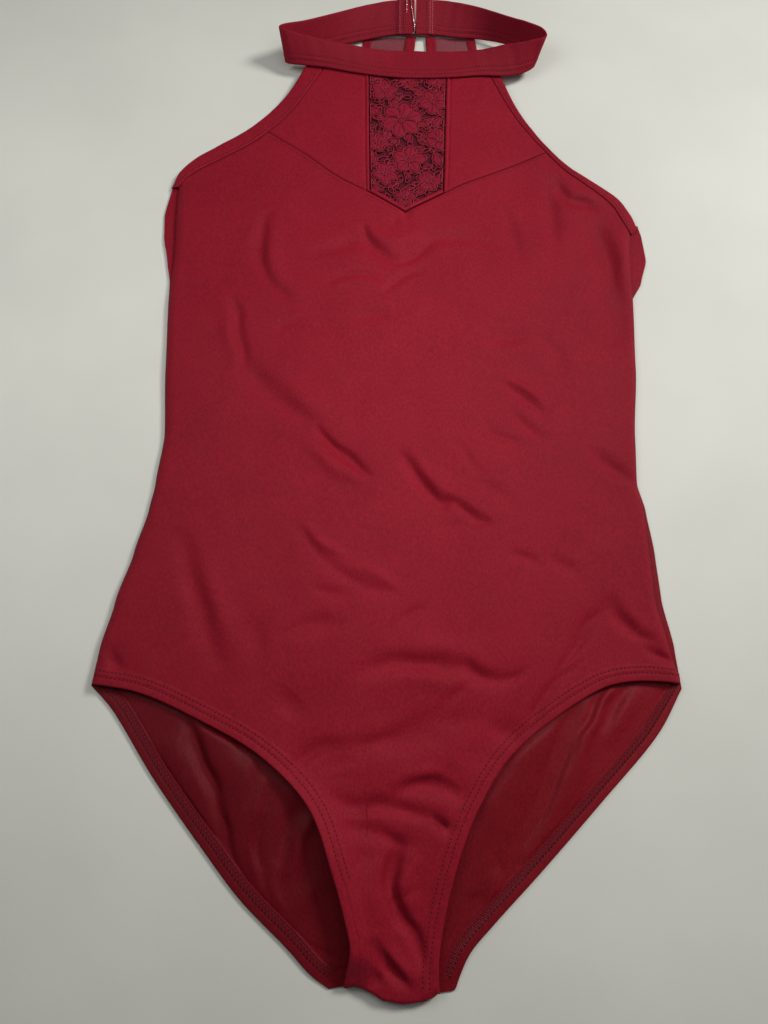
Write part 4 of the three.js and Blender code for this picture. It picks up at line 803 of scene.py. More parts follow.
def zigzag(threads, low_path, high_path, pitch=STITCH_PITCH, radius=0.17, shift=0.0, kind=0):
    """A looper thread that crosses to and fro between two lines on a surface."""
    (low, low_normal), (high, _) = low_path, high_path
    reach_low, reach_high = path_lengths(low), path_lengths(high)
    count = int(reach_low[-1] / pitch)
    steps = np.linspace(0, 1, count * 8 + 1)
    wave = 0.5 - 0.5 * np.cos(2 * np.pi * (steps * count + shift))
    a = at_length(reach_low, low, steps * reach_low[-1])
    b = at_length(reach_high, high, steps * reach_high[-1])
    normal = at_length(reach_low, low_normal, steps * reach_low[-1])
    line = a + (b - a) * wave[:, None] + normal * radius * 0.8
    threads.add(*tubes(line[None], radius, sides=5), kind)


# Materials
def socket(node, name, value):
    node.inputs[name].default_value = value


class Shader:
    """A node material with a Principled shader, and short calls for its nodes."""

    def __init__(self, name, roughness, specular=0.5):
        self.material = bpy.data.materials.new(name)
        self.material.use_nodes = True
        self.tree = self.material.node_tree
        self.principled = self.tree.nodes["Principled BSDF"]
        socket(self.principled, "Roughness", roughness)
        socket(self.principled, "Specular IOR Level", specular)

    def node(self, kind, inputs=None, **settings):
        made = self.tree.nodes.new(kind)
        for name, value in settings.items():
            setattr(made, name, value)
        for name, value in (inputs or {}).items():
            if isinstance(value, bpy.types.NodeSocket):
                self.tree.links.new(value, made.inputs[name])
            else:
                made.inputs[name].default_value = value
        return made

    def link(self, output, name):
        self.tree.links.new(output, self.principled.inputs[name])

    def weave(self):
        return self.node("ShaderNodeAttribute", attribute_name="weave").outputs["Vector"]

    def noise(self, vector, scale, detail=2.0, stretch=None):
        if stretch:
            vector = self.node("ShaderNodeMapping", {"Vector": vector, "Scale": stretch}).outputs[0]
        made = self.node("ShaderNodeTexNoise", {"Vector": vector, "Scale": scale, "Detail": detail})
        return made.outputs["Fac"]

    def math(self, operation, a, b=0.0, clamp=False):
        return self.node("ShaderNodeMath", {0: a, 1: b}, operation=operation, use_clamp=clamp).outputs[0]

    def vector_math(self, operation, *values):
        """A vector operation: a number for LENGTH, and a vector otherwise."""
        made = self.node("ShaderNodeVectorMath", dict(enumerate(values)), operation=operation)
        return made.outputs["Value" if operation == "LENGTH" else "Vector"]

    def ramp(self, factor, low, high, dark, light):
        """Colour that goes from dark to light as the factor goes from low to high."""
        made = self.node("ShaderNodeValToRGB", {"Fac": factor})
        made.color_ramp.elements[0].position = low
        made.color_ramp.elements[1].position = high
        made.color_ramp.elements[0].color = (*dark, 1)
        made.color_ramp.elements[1].color = (*light, 1)
        return made.outputs["Color"]

    def mix(self, factor, a, b, blend="MIX"):
        a, b = ((*value, 1) if isinstance(value, tuple) else value for value in (a, b))
        inputs = {0: factor, 6: a, 7: b}  # the mix node's factor and its two colours
        return self.node("ShaderNodeMix", inputs, data_type="RGBA", blend_type=blend).outputs[2]

    def net(self, vector, scale, width):
        """1 on the threads of a fine net and 0 between them."""
        inputs = {"Vector": vector, "Scale": scale}
        cells = self.node("ShaderNodeTexVoronoi", inputs, feature="DISTANCE_TO_EDGE")
        return self.math("LESS_THAN", cells.outputs["Distance"], width)

    def satin_sheen(self, weight):
        socket(self.principled, "Sheen Weight", weight)
        socket(self.principled, "Sheen Roughness", 0.4)
        socket(self.principled, "Sheen Tint", (1.0, 0.2, 0.27, 1))

    def bump(self, height, distance, strength, before=None):
        inputs = {"Height": height, "Distance": distance, "Strength": strength}
        if before:
            inputs["Normal"] = before
        return self.node("ShaderNodeBump", inputs).outputs["Normal"]


def knit(name, light, dark, rib=0.55, sheen=0.04, roughness=0.55, specular=0.07, painted_light=None):
    """Fine stretch knit: upright wales, small loops across them, soft tone changes and a satin sheen.

    It may carry painted light round a place and painted shade away from it: x, y, how far that reaches each
    way, and the share of tone beyond.
    """
    shader = Shader(name, roughness, specular)
    shader.satin_sheen(sheen)
    weave = shader.weave()
    broad = shader.noise(weave, 0.03, 2)
    grain = shader.noise(weave, 1.05, 3, (1, 0.55, 1))
    tone = shader.math("ADD", shader.math("MULTIPLY", broad, 0.2), shader.math("MULTIPLY", grain, 0.8))
    colour = shader.ramp(tone, 0.34, 0.66, dark, light)
    # Painted light and shade: full tone at the place, darker with distance from it
    if painted_light:
        x, y, reach_x, reach_y, far = painted_light
        off = shader.vector_math("SUBTRACT", weave, (x, y, 0))
        off = shader.vector_math("MULTIPLY", off, (1 / reach_x, 1 / reach_y, 0))
        shade = shader.ramp(shader.vector_math("LENGTH", off), 0.05, 0.8, (1, 1, 1), (far, far, far))
        colour = shader.mix(1.0, colour, shade, "MULTIPLY")
    shader.link(colour, "Base Color")
    wale = shader.node(
        "ShaderNodeTexWave",
        {"Vector": weave, "Scale": math.pi / 10 / rib * 3.183, "Distortion": 0.6, "Detail": 1.0},
        wave_type="BANDS", bands_direction="X",
    ).outputs["Fac"]
    loops = shader.noise(weave, 2.4, 2, (1, 1.6, 1))
    normal = shader.bump(wale, 0.00006, 0.5)
    normal = shader.bump(loops, 0.00012, 0.55, normal)
    shader.link(normal, "Normal")
    return shader.material


def thread_material(name, colour, roughness=0.5):
    shader = Shader(name, roughness, 0.2)
    twist = shader.noise(shader.weave(), 3.5, 2, (1, 2.5, 1))
    light = tuple(min(1.0, part * 1.3) for part in colour)
    dark = tuple(part * 0.6 for part in colour)
    shader.link(shader.ramp(twist, 0.3, 0.7, dark, light), "Base Color")
    shader.link(shader.bump(twist, 0.0001, 0.6), "Normal")
    return shader.material


def lace_material(name, light, dark, groove_shade_colour):
    """Dull net ground, raised satin-stitched motifs that are brighter, and painted shade in the grooves
    beside their cords and along their veins.
    """
    shader = Shader(name, 0.55, 0.08)
    shader.satin_sheen(0.05)
    weave = shader.weave()
    relief = shader.node("ShaderNodeAttribute", attribute_name="relief").outputs["Fac"]
    groove_shade = shader.node("ShaderNodeAttribute", attribute_name="groove_shade").outputs["Fac"]
    strands = shader.net(weave, 0.95, 0.11)
    net = shader.mix(strands, tuple(part * 0.4 for part in dark), dark)
    floss = shader.noise(weave, 2.2, 3, (1, 0.5, 1))
    motif = shader.ramp(floss, 0.25, 0.75, tuple(part * 0.72 for part in light), light)
    raised = shader.math("SMOOTH_MIN", shader.math("MULTIPLY", relief, 3.0), 1.0, clamp=True)
    # Painted shade over the grooves and veins
    shader.link(shader.mix(groove_shade, shader.mix(raised, net, motif), groove_shade_colour), "Base Color")
    normal = shader.bump(floss, 0.0002, 0.7)
    normal = shader.bump(strands, 0.0002, 0.5, normal)
    shader.link(normal, "Normal")
    return shader.material


def sheer_material(name, light, dark):
    """Sheer stretch mesh: fine net that lets the surface behind it show through."""
    shader = Shader(name, 0.6, 0.3)
    socket(shader.principled, "Sheen Weight", 0.3)
    weave = shader.weave()
    cover = shader.net(weave, 1.6, 0.16)
    tone = shader.noise(weave, 0.12, 2)
    shader.link(shader.ramp(tone, 0.3, 0.7, dark, light), "Base Color")
    alpha = shader.math("ADD", shader.math("MULTIPLY", cover, 0.35), 0.42)
    shader.link(alpha, "Alpha")
    return shader.material


def plastic_material(name, colour):
    shader = Shader(name, 0.1, 0.5)
    socket(shader.principled, "Transmission Weight", 0.9)
    socket(shader.principled, "IOR", 1.46)
    scuffs = shader.noise(shader.weave(), 0.6, 3)
    light = tuple(min(1.0, part * 1.1) for part in colour)
    shader.link(shader.ramp(scuffs, 0.35, 0.7, colour, light), "Base Color")
    shader.link(shader.bump(scuffs, 0.0001, 0.3), "Normal")
    return shader.material


def floor_material(name, light, dark):
    shader = Shader(name, 0.6, 0.3)
    place = shader.node("ShaderNodeTexCoord").outputs["Object"]
    shader.link(shader.ramp(shader.noise(place, 9.0, 3), 0.35, 0.65, dark, light), "Base Color")
    shader.link(shader.bump(shader.noise(place, 900.0, 2), 0.0002, 0.2), "Normal")
    return shader.material


# body_knit: painted light round the garment's middle, painted shade towards its sides
body_knit = knit(
    "body_knit", (0.318, 0.0106, 0.0257), (0.222, 0.0071, 0.0174), painted_light=(20, 340, 200, 700, 0.75)
)
# The knit's wrong side, duller, and darker than the body knit as painted shade of the leg openings; its
# painted shade deepens away from the right leg, darkest at the left leg opening
shaded_inside_knit = knit(
    "shaded_inside_knit", (0.225, 0.0072, 0.0148), (0.15, 0.0045, 0.0094),
    roughness=0.45, specular=0.1, painted_light=(140, 110, 270, 900, 0.62),
)
binding_knit = knit("binding_knit", (0.262, 0.0086, 0.0215), (0.178, 0.0056, 0.0145))
band_knit = knit("band_knit", (0.25, 0.0088, 0.022), (0.17, 0.0056, 0.0146))
thread = thread_material("thread", (0.24, 0.0085, 0.021))
# Near-black painted shade for the needle holes
needle_hole_shade = thread_material("needle_hole_shade", (0.035, 0.0011, 0.003), 0.8)
inner_thread = thread_material("inner_thread", (0.19, 0.007, 0.016))
# A darker copy of the inner thread: painted shade on one of the two looper zigzags
shaded_looper_thread = thread_material("shaded_looper_thread", (0.075, 0.0024, 0.0065))
pale_thread = thread_material("pale_thread", (0.55, 0.14, 0.17))
# lace_cloth: the last colour is the near-black painted shade of the grooves and veins
lace_cloth = lace_material("lace_cloth", (0.27, 0.011, 0.03), (0.115, 0.009, 0.0215), (0.03, 0.0015, 0.004))
lace_cord = thread_material("lace_cord", (0.31, 0.022, 0.042))
sheer_mesh = sheer_material("sheer_mesh", (0.25, 0.034, 0.048), (0.19, 0.024, 0.035))
clear_plastic = plastic_material("clear_plastic", (0.8, 0.3, 0.33))


# Front and back body
def side_columns(last, first_gap, count):
    """Column numbers, closer together over the rolled side edges."""
    insets = SIDE_ROLL * (1 - np.cos(np.linspace(0, np.pi / 2, 10))) / first_gap
    middle = np.linspace(insets[-1], last - insets[-1], count)
    return np.concatenate([insets[:-1], middle, (last - insets[:-1])[::-1]])


def body_rows(count, bunching=1.0):
    """Row numbers through the hem, up the panel and close together at its top seam."""
    top = np.array([1.985, 1.99, 1.994, 1.997, 1.999, 2.0])
    return np.concatenate([HEM_DEPTHS / HEM_WIDTH, 1 + 0.98 * np.linspace(0, 1, count)[1:] ** bunching, top])


def panel_shell(name, surface, columns, rows, material):
    rows = rows[:, None]
    outer = surface(columns, rows)
    inner = kept_under(surface(columns[::2], rows[::2], True), outer, CLOTH_WALL / 2)
    above = len(HEM_DEPTHS) // 2
    inner[above:] = kept_under(inner[above:], outer[2 * above :], CLOTH_WALL / 2, 3)
    return shell(name, outer, inner, material)


def front_body():
    across, up = FRONT_STEPS
    columns = side_columns(FRONT_LAST, 15, across)
    return panel_shell("front_cloth", front_surface, columns, body_rows(up), body_knit)


def back_body():
    across, up = BACK_STEPS
    columns = np.linspace(0, BACK_LAST, across)
    piece = panel_shell("back_cloth", back_surface, columns, body_rows(up, 1.5), shaded_inside_knit)
    piece.data.materials.append(body_knit)
    for face in piece.data.polygons:
        face.material_index = int(face.center.y > (BACK_INSIDE_END - ORIGIN[1]) * MM)
    return piece


def hem_paths(surface, first, last, *depths):
    """Paths along a leg edge of a body panel, at depths from the edge."""
    columns = np.linspace(first, last, HEM_SAMPLES)
    return [surface_path(surface, columns, np.full(len(columns), depth / HEM_WIDTH)) for depth in depths]


HEM_ROWS = HEM_ROW_LOW, HEM_ROW_LOW + NEEDLE_GAP


def front_threads():
    threads = Threads()
    for first, last in ((0.02, LEFT_ROWS_END), (LIP_END + 0.15, FRONT_LAST - 0.02)):
        for path in hem_paths(front_surface, first, last, *HEM_ROWS):
            stitch(threads, *path, hole=0.42)
    return threads.build("front_hem_threads", [thread, needle_hole_shade])


def back_threads():
    """The hems' inside: looper threads between the two rows."""
    threads = Threads()
    right_leg = BACK_LAST - BACK_LEG_COLUMNS
    for first, last in ((0.1, BACK_LEG_COLUMNS - 0.1), (right_leg + 0.1, BACK_LAST - 0.1)):
        low, high, raw = hem_paths(back_surface, first, last, *HEM_ROWS, HEM_ROWS[-1] + 0.9)
        # One looper in painted shade, the other in the inner thread's own colour
        zigzag(threads, low, high, radius=0.22, kind=2)
        zigzag(threads, low, high, radius=0.22, shift=0.5)
        stitch(threads, *low, radius=0.2, share=0.6, hole=0.45)
        stitch(threads, *high, radius=0.2, share=0.6, hole=0.45)
        stitch(threads, *raw, radius=0.18, share=0.85, hole=0)
    return threads.build("back_hem_threads", [inner_thread, needle_hole_shade, shaded_looper_thread])


# Yokes, lace and seams
def coons(bottom, top, left, right):
    """Grid between four edges with matching corners."""
    u = np.linspace(0, 1, len(bottom))[None, :, None]
    v = np.linspace(0, 1, len(left))[:, None, None]
    ruled = bottom[None] * (1 - v) + top[None] * v + left[:, None] * (1 - u) + right[:, None] * u
    low = bottom[0] * (1 - u) * (1 - v) + bottom[-1] * u * (1 - v)
    return ruled - (low + top[0] * (1 - u) * v + top[-1] * u * v)


def raised_seam(points):
    return points + np.array([0, BODICE_SEAM_RISE])


def edge_distances(flat):
    """Distance in millimetres from the left, right, bottom and top edge of a grid."""
    across = np.linalg.norm(np.diff(flat, axis=1), axis=2)
    up = np.linalg.norm(np.diff(flat, axis=0), axis=2)
    left = np.concatenate([np.zeros((len(flat), 1)), np.cumsum(across, axis=1)], axis=1)
    bottom = np.concatenate([np.zeros((1, flat.shape[1])), np.cumsum(up, axis=0)], axis=0)
    return left, left[:, -1:] - left, bottom, bottom[-1:] - bottom


def eased_steps(count, sharpness=0.5):
    """Steps from 0 to 1 that are closer together at both ends."""
    t = np.linspace(0, 1, count)
    return t + (smooth_step(t, 0, 1) - t) * sharpness * 1.9


def lace_edges():
    low_left = raised_seam(bodice_left(np.array([LACE_LEFT_ROW])))[0]
    low_right = raised_seam(bodice_right(np.array([LACE_RIGHT_ROW - POINT_ROW])))[0]
    return low_left, low_right, neckline(NECK_LACE_LEFT_ROW), neckline(NECK_LACE_RIGHT_ROW)


def yoke(side):
    """Yoke cloth with its turned edge along the lace, as a flat grid and its height."""
    low_left, low_right, high_left, high_right = lace_edges()
    half_gap = np.array([SEAM_GAP / 2, 0])
    steps = eased_steps(64)
    if side == "left":
        bottom = raised_seam(bodice_left(steps * LACE_LEFT_ROW))
        top = neckline(steps * NECK_LACE_LEFT_ROW)
        left = armhole_left_in(SEAM_ROW + steps * (LAST_ARM_ROW - SEAM_ROW))
        right = straight_line(low_left - half_gap, high_left - half_gap)(steps)
    else:
        start = LACE_RIGHT_ROW - POINT_ROW
        bottom = raised_seam(bodice_right(start + steps * (LAST_SEAM_ROW - POINT_ROW - start)))
        top = neckline(NECK_LACE_RIGHT_ROW + steps * (LAST_NECK_ROW - NECK_LACE_RIGHT_ROW))
        right = armhole_right_in(SEAM_ROW + steps * (LAST_ARM_ROW - SEAM_ROW))
        left = straight_line(low_right + half_gap, high_right + half_gap)(steps)
    bottom[0], bottom[-1], top[0], top[-1] = left[0], right[0], left[-1], right[-1]
    flat = coons(bottom, top, left, right)
    from_left, from_right, from_bottom, _ = edge_distances(flat)
    by_lace, by_arm = (from_right, from_left) if side == "left" else (from_left, from_right)
    relief = groove(by_arm, 0.7, 0.7) + groove(from_bottom, 0.7, 0.6)
    relief += 0.55 * np.exp(-(((by_lace - 1.2) / 1.0) ** 2)) + groove(by_lace - 2.9, 0.55, 0.5)
    relief -= 0.6 * fold_round(by_lace, 0.6)
    return flat, relief


def front_layer(name, flat, relief, wall, material):
    x, y = flat[..., 0], flat[..., 1]
    high = front_height(x, y)
    under = high + np.minimum(relief, 0) - wall
    return shell(name, stacked(x, y, high + relief), stacked(x, y, under), material)


def small_leaves():
    """Small leaves that fill the ground between the flowers, turned at random."""
    random = np.random.default_rng(LACE_SEED)
    leaves = []
    for x in np.arange(-9, 45, SMALL_LEAF_SPACING):
        for y in np.arange(464, 580, SMALL_LEAF_SPACING):
            place_x, place_y, turn, long, skip = random.random(5)
            place_x, place_y = x + 4 * place_x - 2, y + 4 * place_y - 2
            hidden = any(
                math.hypot(place_x - flower_x, place_y - flower_y) < 0.75 * radius
                for flower_x, flower_y, radius in columns_of(LACE_FLOWERS, "x", "y", "radius")
            )
            if not hidden and skip > SMALL_LEAF_SKIP:
                leaves.append((place_x, place_y, math.pi * turn, 2.6 + 1.6 * long, 1.3 + 0.8 * long, 0.34))
    return leaves


# Outer and inner petals of a flower: turn in petals, distance, half length and half width against its
# radius, level, and how much the level varies from petal to petal
PETAL_RINGS = (0.5, 0.98, 0.3, 0.17, 0.4, 0), (0, 0.54, 0.46, 0.37, 0.6, 0.1)


def lace_shapes():
    """Every leaf and petal: centre, direction, half length, half width and level, from the lowest up."""
    shapes = small_leaves()
    for k, (x, y, long, wide, turn) in enumerate(columns_of(LACE_LEAVES)):
        shapes.append((x, y, math.radians(turn), long, wide, 0.42 + 0.08 * (k % 3)))
    for x, y, radius, petals, turn in columns_of(LACE_FLOWERS):
        for first, out, long, wide, level, varies in PETAL_RINGS:
            for k in range(int(petals)):
                angle = math.radians(turn + 360 * (k + first) / petals)
                reach = radius * out
                shapes.append((
                    x + reach * math.cos(angle), y + reach * math.sin(angle), angle,
                    radius * long, radius * wide, level + varies * (k * 2 % petals) / petals,
                ))
        shapes.append((x, y, 0.0, radius * 0.17, radius * 0.17, 0.85))
    return shapes


def lace_height(x, y):
    """Height of the motifs above the net, from 0 to 1, and the share of painted shade in the groove round
    each of them and along their veins.
    Each shape is puffed and laid over the ones before."""
    height, groove_shade = np.zeros(x.shape), np.zeros(x.shape)
    x, y = wander(x, y, *LACE_WANDER)
    for centre_x, centre_y, angle, long, wide, level in lace_shapes():
        along = ((x - centre_x) * math.cos(angle) + (y - centre_y) * math.sin(angle)) / long
        across = ((y - centre_y) * math.cos(angle) - (x - centre_x) * math.sin(angle)) / wide
        inside = 1 - along**2 - (across / (1.05 - 0.3 * np.abs(along))) ** 2
        depth = inside * wide / 2
        vein = np.exp(-((across * wide / 0.35) ** 2)) * (along < 0.6)
        puff = level + LACE_PUFF * np.sqrt(np.clip(inside, 0, 1)) - LACE_VEIN * vein
        puff = puff - LACE_GROOVE * (depth < LACE_GAP)
        height = np.where(depth > 0, puff, height)
        rim = (depth > -LACE_GAP * 0.5) & (depth < LACE_GAP)
        # Painted shade in the groove round each shape and, fainter, along its vein
        groove_shade = np.where(depth > -LACE_GAP * 0.5, np.where(rim, 1.0, 0.55 * vein), groove_shade)
    return height, groove_shade


def lace_room(y):
    """The motifs are flatter under the neckband."""
    return 1 - 0.55 * smooth_step(y, *LACE_FLATTENS)


def lace_cords():
    """Corded outline of each leaf and petal."""
    low_left, low_right, high_left, high_right = lace_edges()
    turn = np.linspace(0, 2 * np.pi, 19)
    seam_x, seam_y = seam_points[:, 0], seam_points[:, 1]
    lines = []
    for centre_x, centre_y, angle, long, wide, level in lace_shapes():
        along = np.cos(turn) * long
        across = np.sin(turn) * wide * (1.05 - 0.3 * np.abs(np.cos(turn)))
        x = centre_x + along * math.cos(angle) - across * math.sin(angle)
        y = centre_y + along * math.sin(angle) + across * math.cos(angle)
        shifted_x, shifted_y = wander(x, y, *LACE_WANDER)
        x, y = 2 * x - shifted_x, 2 * y - shifted_y
        y = np.clip(y, np.interp(x, seam_x, seam_y) + 1.6, high_left[1] - 1.5)
        share = (y - low_left[1]) / (high_left[1] - low_left[1])
        left = low_left[0] + (high_left[0] - low_left[0]) * share + 1.1
        right = low_right[0] + (high_right[0] - low_right[0]) * share - 1.1
        x = np.clip(x, left, right)
        z = front_height(x, y) - LACE_SINK + level * LACE_RELIEF * lace_room(y) + 0.22
        lines.append(stacked(x, y, z))
    for x0, y0, x1, y1, bow in columns_of(LACE_BARS):
        share = np.linspace(0, 1, 19)
        x = x0 + (x1 - x0) * share
        y = y0 + (y1 - y0) * share + bow * 4 * share * (1 - share)
        lines.append(stacked(x, y, front_height(x, y) - LACE_SINK + 0.35))
    points, faces = tubes(lines, CORD_RADIUS, sides=6)
    return new_object("lace_cords", points, faces, [lace_cord])


def lace_panel():
    low_left, low_right, high_left, high_right = lace_edges()
    half_gap = np.array([SEAM_GAP / 2, 0])
    half = 56
    left_seam = bodice_left(np.linspace(LACE_LEFT_ROW, POINT_ROW, half + 1))
    right_seam = bodice_right(np.linspace(0, LACE_RIGHT_ROW - POINT_ROW, half + 1))
    bottom = raised_seam(np.concatenate([left_seam, right_seam[1:]]))
    top = neckline(np.linspace(NECK_LACE_LEFT_ROW, NECK_LACE_RIGHT_ROW, 2 * half + 1))
    steps = np.linspace(0, 1, 230)
    left = straight_line(low_left + half_gap, high_left + half_gap)(steps)
    right = straight_line(low_right - half_gap, high_right - half_gap)(steps)
    bottom[0], bottom[-1], top[0], top[-1] = left[0], right[0], left[-1], right[-1]
    flat = coons(bottom, top, left, right)
    from_left, from_right, from_bottom, _ = edge_distances(flat)
    x, y = flat[..., 0], flat[..., 1]
    by_side = np.minimum(from_left, from_right)
    inset = np.minimum(by_side, from_bottom)
    height, groove_shade = lace_height(x, y)
    raised = height * smooth_step(inset, 0.2, 1.6)
    slack = 0.25 * unevenness(x, y, 12, 3.3)
    bars = 0.18 * np.maximum(0, np.sin(y * 1.9)) * (1 - smooth_step(by_side, 4, 9))
    relief = raised * LACE_RELIEF * lace_room(y) - LACE_SINK + (slack + bars) * smooth_step(inset, 0, 2)
    piece = front_layer("lace_cloth", flat, relief, MESH_WALL, lace_cloth)
    for name, values in (("relief", raised), ("groove_shade", groove_shade)):
        attribute = piece.data.attributes.new(name, "FLOAT", "POINT")
        attribute.data.foreach_set("value", np.concatenate([values.ravel()] * 2).astype(np.float32))
    return piece


def seam_path(curve, start, end, drop):
    """Path on the front body a set distance below the bodice seam."""
    rows = np.linspace(start, end, 400)
    flat = curve(rows)
    along = np.gradient(flat, axis=0)
    normal = np.stack([along[:, 1], -along[:, 0]], axis=1)
    flat = flat + normal / np.linalg.norm(normal, axis=1, keepdims=True) * drop
    z = front_height(flat[:, 0], flat[:, 1])
    return upright(stacked(flat[:, 0], flat[:, 1], z))


def lace_ridge():
    """Turned edge of the front that stands along the lace's pointed end, round from side to side."""
    corner = LACE_RIGHT_ROW - POINT_ROW
    left = raised_seam(bodice_left(np.linspace(LACE_LEFT_ROW, POINT_ROW, 70)))
    right = raised_seam(bodice_right(np.linspace(0, corner, 70)))[1:]
    line = np.concatenate([left, right])
    along = np.gradient(line, axis=0)
    upward = unit(np.stack([-along[:, 1], along[:, 0]], axis=1))
    across = np.linspace(0, 1, 13)
    flat = line[:, None] + upward[:, None] * (RIDGE_WIDTH * across)[None, :, None]
    x, y = flat[..., 0], flat[..., 1]
    rounding = RIDGE_HEIGHT * np.sqrt(1 - (2 * across - 1) ** 2)
    high = front_height(x, y) - 0.1
    top, under = (stacked(x, y, high + rise)[:, ::-1] for rise in (rounding, -0.25))
    return shell("lace_edge_ridge", top, under, body_knit)


def yoke_threads():
    threads = Threads()
    drop = 2.6
    stitch(threads, *seam_path(bodice_left, 0.05, POINT_ROW - 0.08, drop))
    stitch(threads, *seam_path(bodice_right, 0.08, LAST_SEAM_ROW - POINT_ROW - 0.05, drop))
    return threads.build("bodice_seam_threads", [thread, needle_hole_shade])


# Armhole bindings of the front
def binding_surface(inner_curve, outer_curve):
    """A surface by share across and row along the armhole."""

    def surface(across, row, under=False):
        across, row = np.broadcast_arrays(np.asarray(across, float), np.asarray(row, float))
        start, end = inner_curve(row), outer_curve(row)
        width = np.linalg.norm(end - start, axis=-1)
        reach = SEAM_GAP + (width - SEAM_GAP) * across
        flat = start + (end - start) * (reach / width)[..., None]
        high = front_height(flat[..., 0], flat[..., 1])
        high = high - (high - ARM_END_HEIGHT) * (1 - smooth_step(row, 0, 1.1)) * (0.35 + 0.65 * across)
        if under:
            drop = BINDING_WALL - 0.35 * fold_round(width - reach, 0.8)
            return stacked(flat[..., 0], flat[..., 1], high - drop)
        seam_dip = 0.7 * np.exp(-((reach / 0.55) ** 2))
        edge_roll = 1.15 * fold_round(width - reach, np.minimum(2.2, width * 0.4))
        drop = seam_dip + edge_roll - groove(reach - 2.3, 0.5, 0.22) * (width > 5)
        return stacked(flat[..., 0], flat[..., 1], high - drop)

    return surface


left_binding = binding_surface(armhole_left_in, armhole_left_out)
right_binding = binding_surface(armhole_right_in, armhole_right_out)


def front_binding(name, surface):
    across = eased_steps(26, 0.6)
    rows = np.linspace(0, LAST_ARM_ROW, 170)[:, None]
    if surface is left_binding:  # its free side is at the left
        across = across[::-1]
    return shell(name, surface(across, rows), surface(across, rows, True), binding_knit)


def binding_threads():
    threads = Threads()
    rows = np.linspace(0.15, LAST_ARM_ROW - 0.05, 700)
    for surface, inset in ((left_binding, 2.3), (right_binding, 1.9)):
        width = np.linalg.norm(surface(1.0, rows) - surface(0.0, rows), axis=-1)
        stitch(threads, *upright(surface(np.clip(inset / width, 0, 0.5), rows)))
    return threads.build("armhole_threads", [thread, needle_hole_shade])


# Upper back: mesh panels, keyhole bindings and armhole bindings
def back_lift(x, y):
    foot = read_table(BACK_BAND, "foot_x", x, "foot_z")
    room = foot - BAND_WALL / 2 - BAND_GAP - BINDING_WALL
    return np.maximum(0, room) * smooth_step(y, *STRAP_LIFT)


def racer(name, y):
    if name in ("left", "right"):
        return read_table(RACER_BACK, "y", y, name)
    centre, hole = (read_table(RACER_BACK, "y", y, key) for key in ("centre", "hole"))
    sign = -1 if name.endswith("left") else 1
    return centre + sign * (hole + (KEYHOLE_BINDING_WIDTH if name.startswith("binding") else 0))


RACER_TOP = np.linspace(500 + SEAM_GAP, STRAP_END_Y, 120)


def back_strip(name, left, right, gaps, wall, material, columns):
    y = RACER_TOP[:, None]
    low, high = racer(left, y) + gaps[0], racer(right, y) - gaps[1]
    across = eased_steps(columns, 0.5)
    x = low + (high - low) * across
    lift = back_lift(x, y)
    edge = np.minimum(x - low, high - x)
    is_binding = material is binding_knit
    sag = 0.3 * unevenness(x, y, 20, 5.5) * smooth_step(edge, 0, 4) if not is_binding else 0
    round_off = fold_round(edge, wall / 2 + 0.3) * wall / 2 if is_binding else 0
    top = lift + wall - round_off + np.maximum(sag, 0)
    return shell(name, stacked(x, y, top), stacked(x, y, lift), material)


def back_binding_edge(armhole, line, side):
    """Seam line under the arm and then beside the mesh, and the direction out from it."""
    lower = even_curve(columns_of(armhole))(np.linspace(0, 1, 120))
    y = np.linspace(508.5, STRAP_END_Y, 160)
    edge = np.concatenate([lower, stacked(racer(line, y), y)])
    reach = path_lengths(edge)
    even = np.linspace(0, reach[-1], 260)
    edge = np.stack([np.interp(even, reach, edge[:, k]) for k in (0, 1)], axis=1)
    smooth = np.array([
        np.convolve(np.pad(edge[:, k], 6, mode="edge"), np.ones(13) / 13, "valid") for k in (0, 1)
    ]).T
    along = np.gradient(smooth, axis=0)
    outward = np.stack([-along[:, 1], along[:, 0]], axis=1) * -side
    outward /= np.linalg.norm(outward, axis=1, keepdims=True)
    outward[-1] = side, 0
    return edge, outward


def back_binding(name, armhole, line, side):
    edge, outward = back_binding_edge(armhole, line, side)
    across = eased_steps(12, 0.5)
    if side < 0:
        across = across[::-1]
    wide = STRAP_WIDTH * (0.35 + 0.65 * smooth_step(path_lengths(edge), 0, UNDERARM_TAPER))[:, None]
    reach = (SEAM_GAP + (wide - SEAM_GAP) * across)[..., None]
    flat = edge[:, None] + outward[:, None] * reach
    x, y = flat[..., 0], flat[..., 1]
    lift = back_lift(x, y)
    from_edge = np.minimum(reach[..., 0] - SEAM_GAP, wide - reach[..., 0])
    round_off = fold_round(from_edge, 1.0) * BINDING_WALL / 2
    ridge = groove(reach[..., 0] - 2.2, 0.6, 0.2)
    top = lift + BINDING_WALL - round_off + ridge
    return shell(name, stacked(x, y, top), stacked(x, y, lift), binding_knit)


def back_strap_threads():
    threads = Threads()
    y = np.linspace(560, STRAP_END_Y - 0.5, 300)
    for line, shift in (("left", -2.2), ("right", 2.2), ("binding_left", 2.0), ("binding_right", -2.0)):
        x = racer(line, y) + shift
        stitch(threads, *upright(stacked(x, y, back_lift(x, y) + BINDING_WALL)))
    return threads.build("strap_threads", [thread, needle_hole_shade])


# Neckband
band_foot, band_top = (
    row_curve(columns_of(NECKBAND, f"{edge}_x", f"{edge}_y", f"{edge}_z")) for edge in ("foot", "top")
)
TAB_END = TAB_LENGTH / (NECKBAND["foot_x"][0] - NECKBAND["foot_x"][1])
BAND_ROWS_UP = (3.2, 6.4)


def band_middle(section, height):
    foot, top = band_foot(section), band_top(section)
    return foot + (top - foot) * np.asarray(height)[..., None]


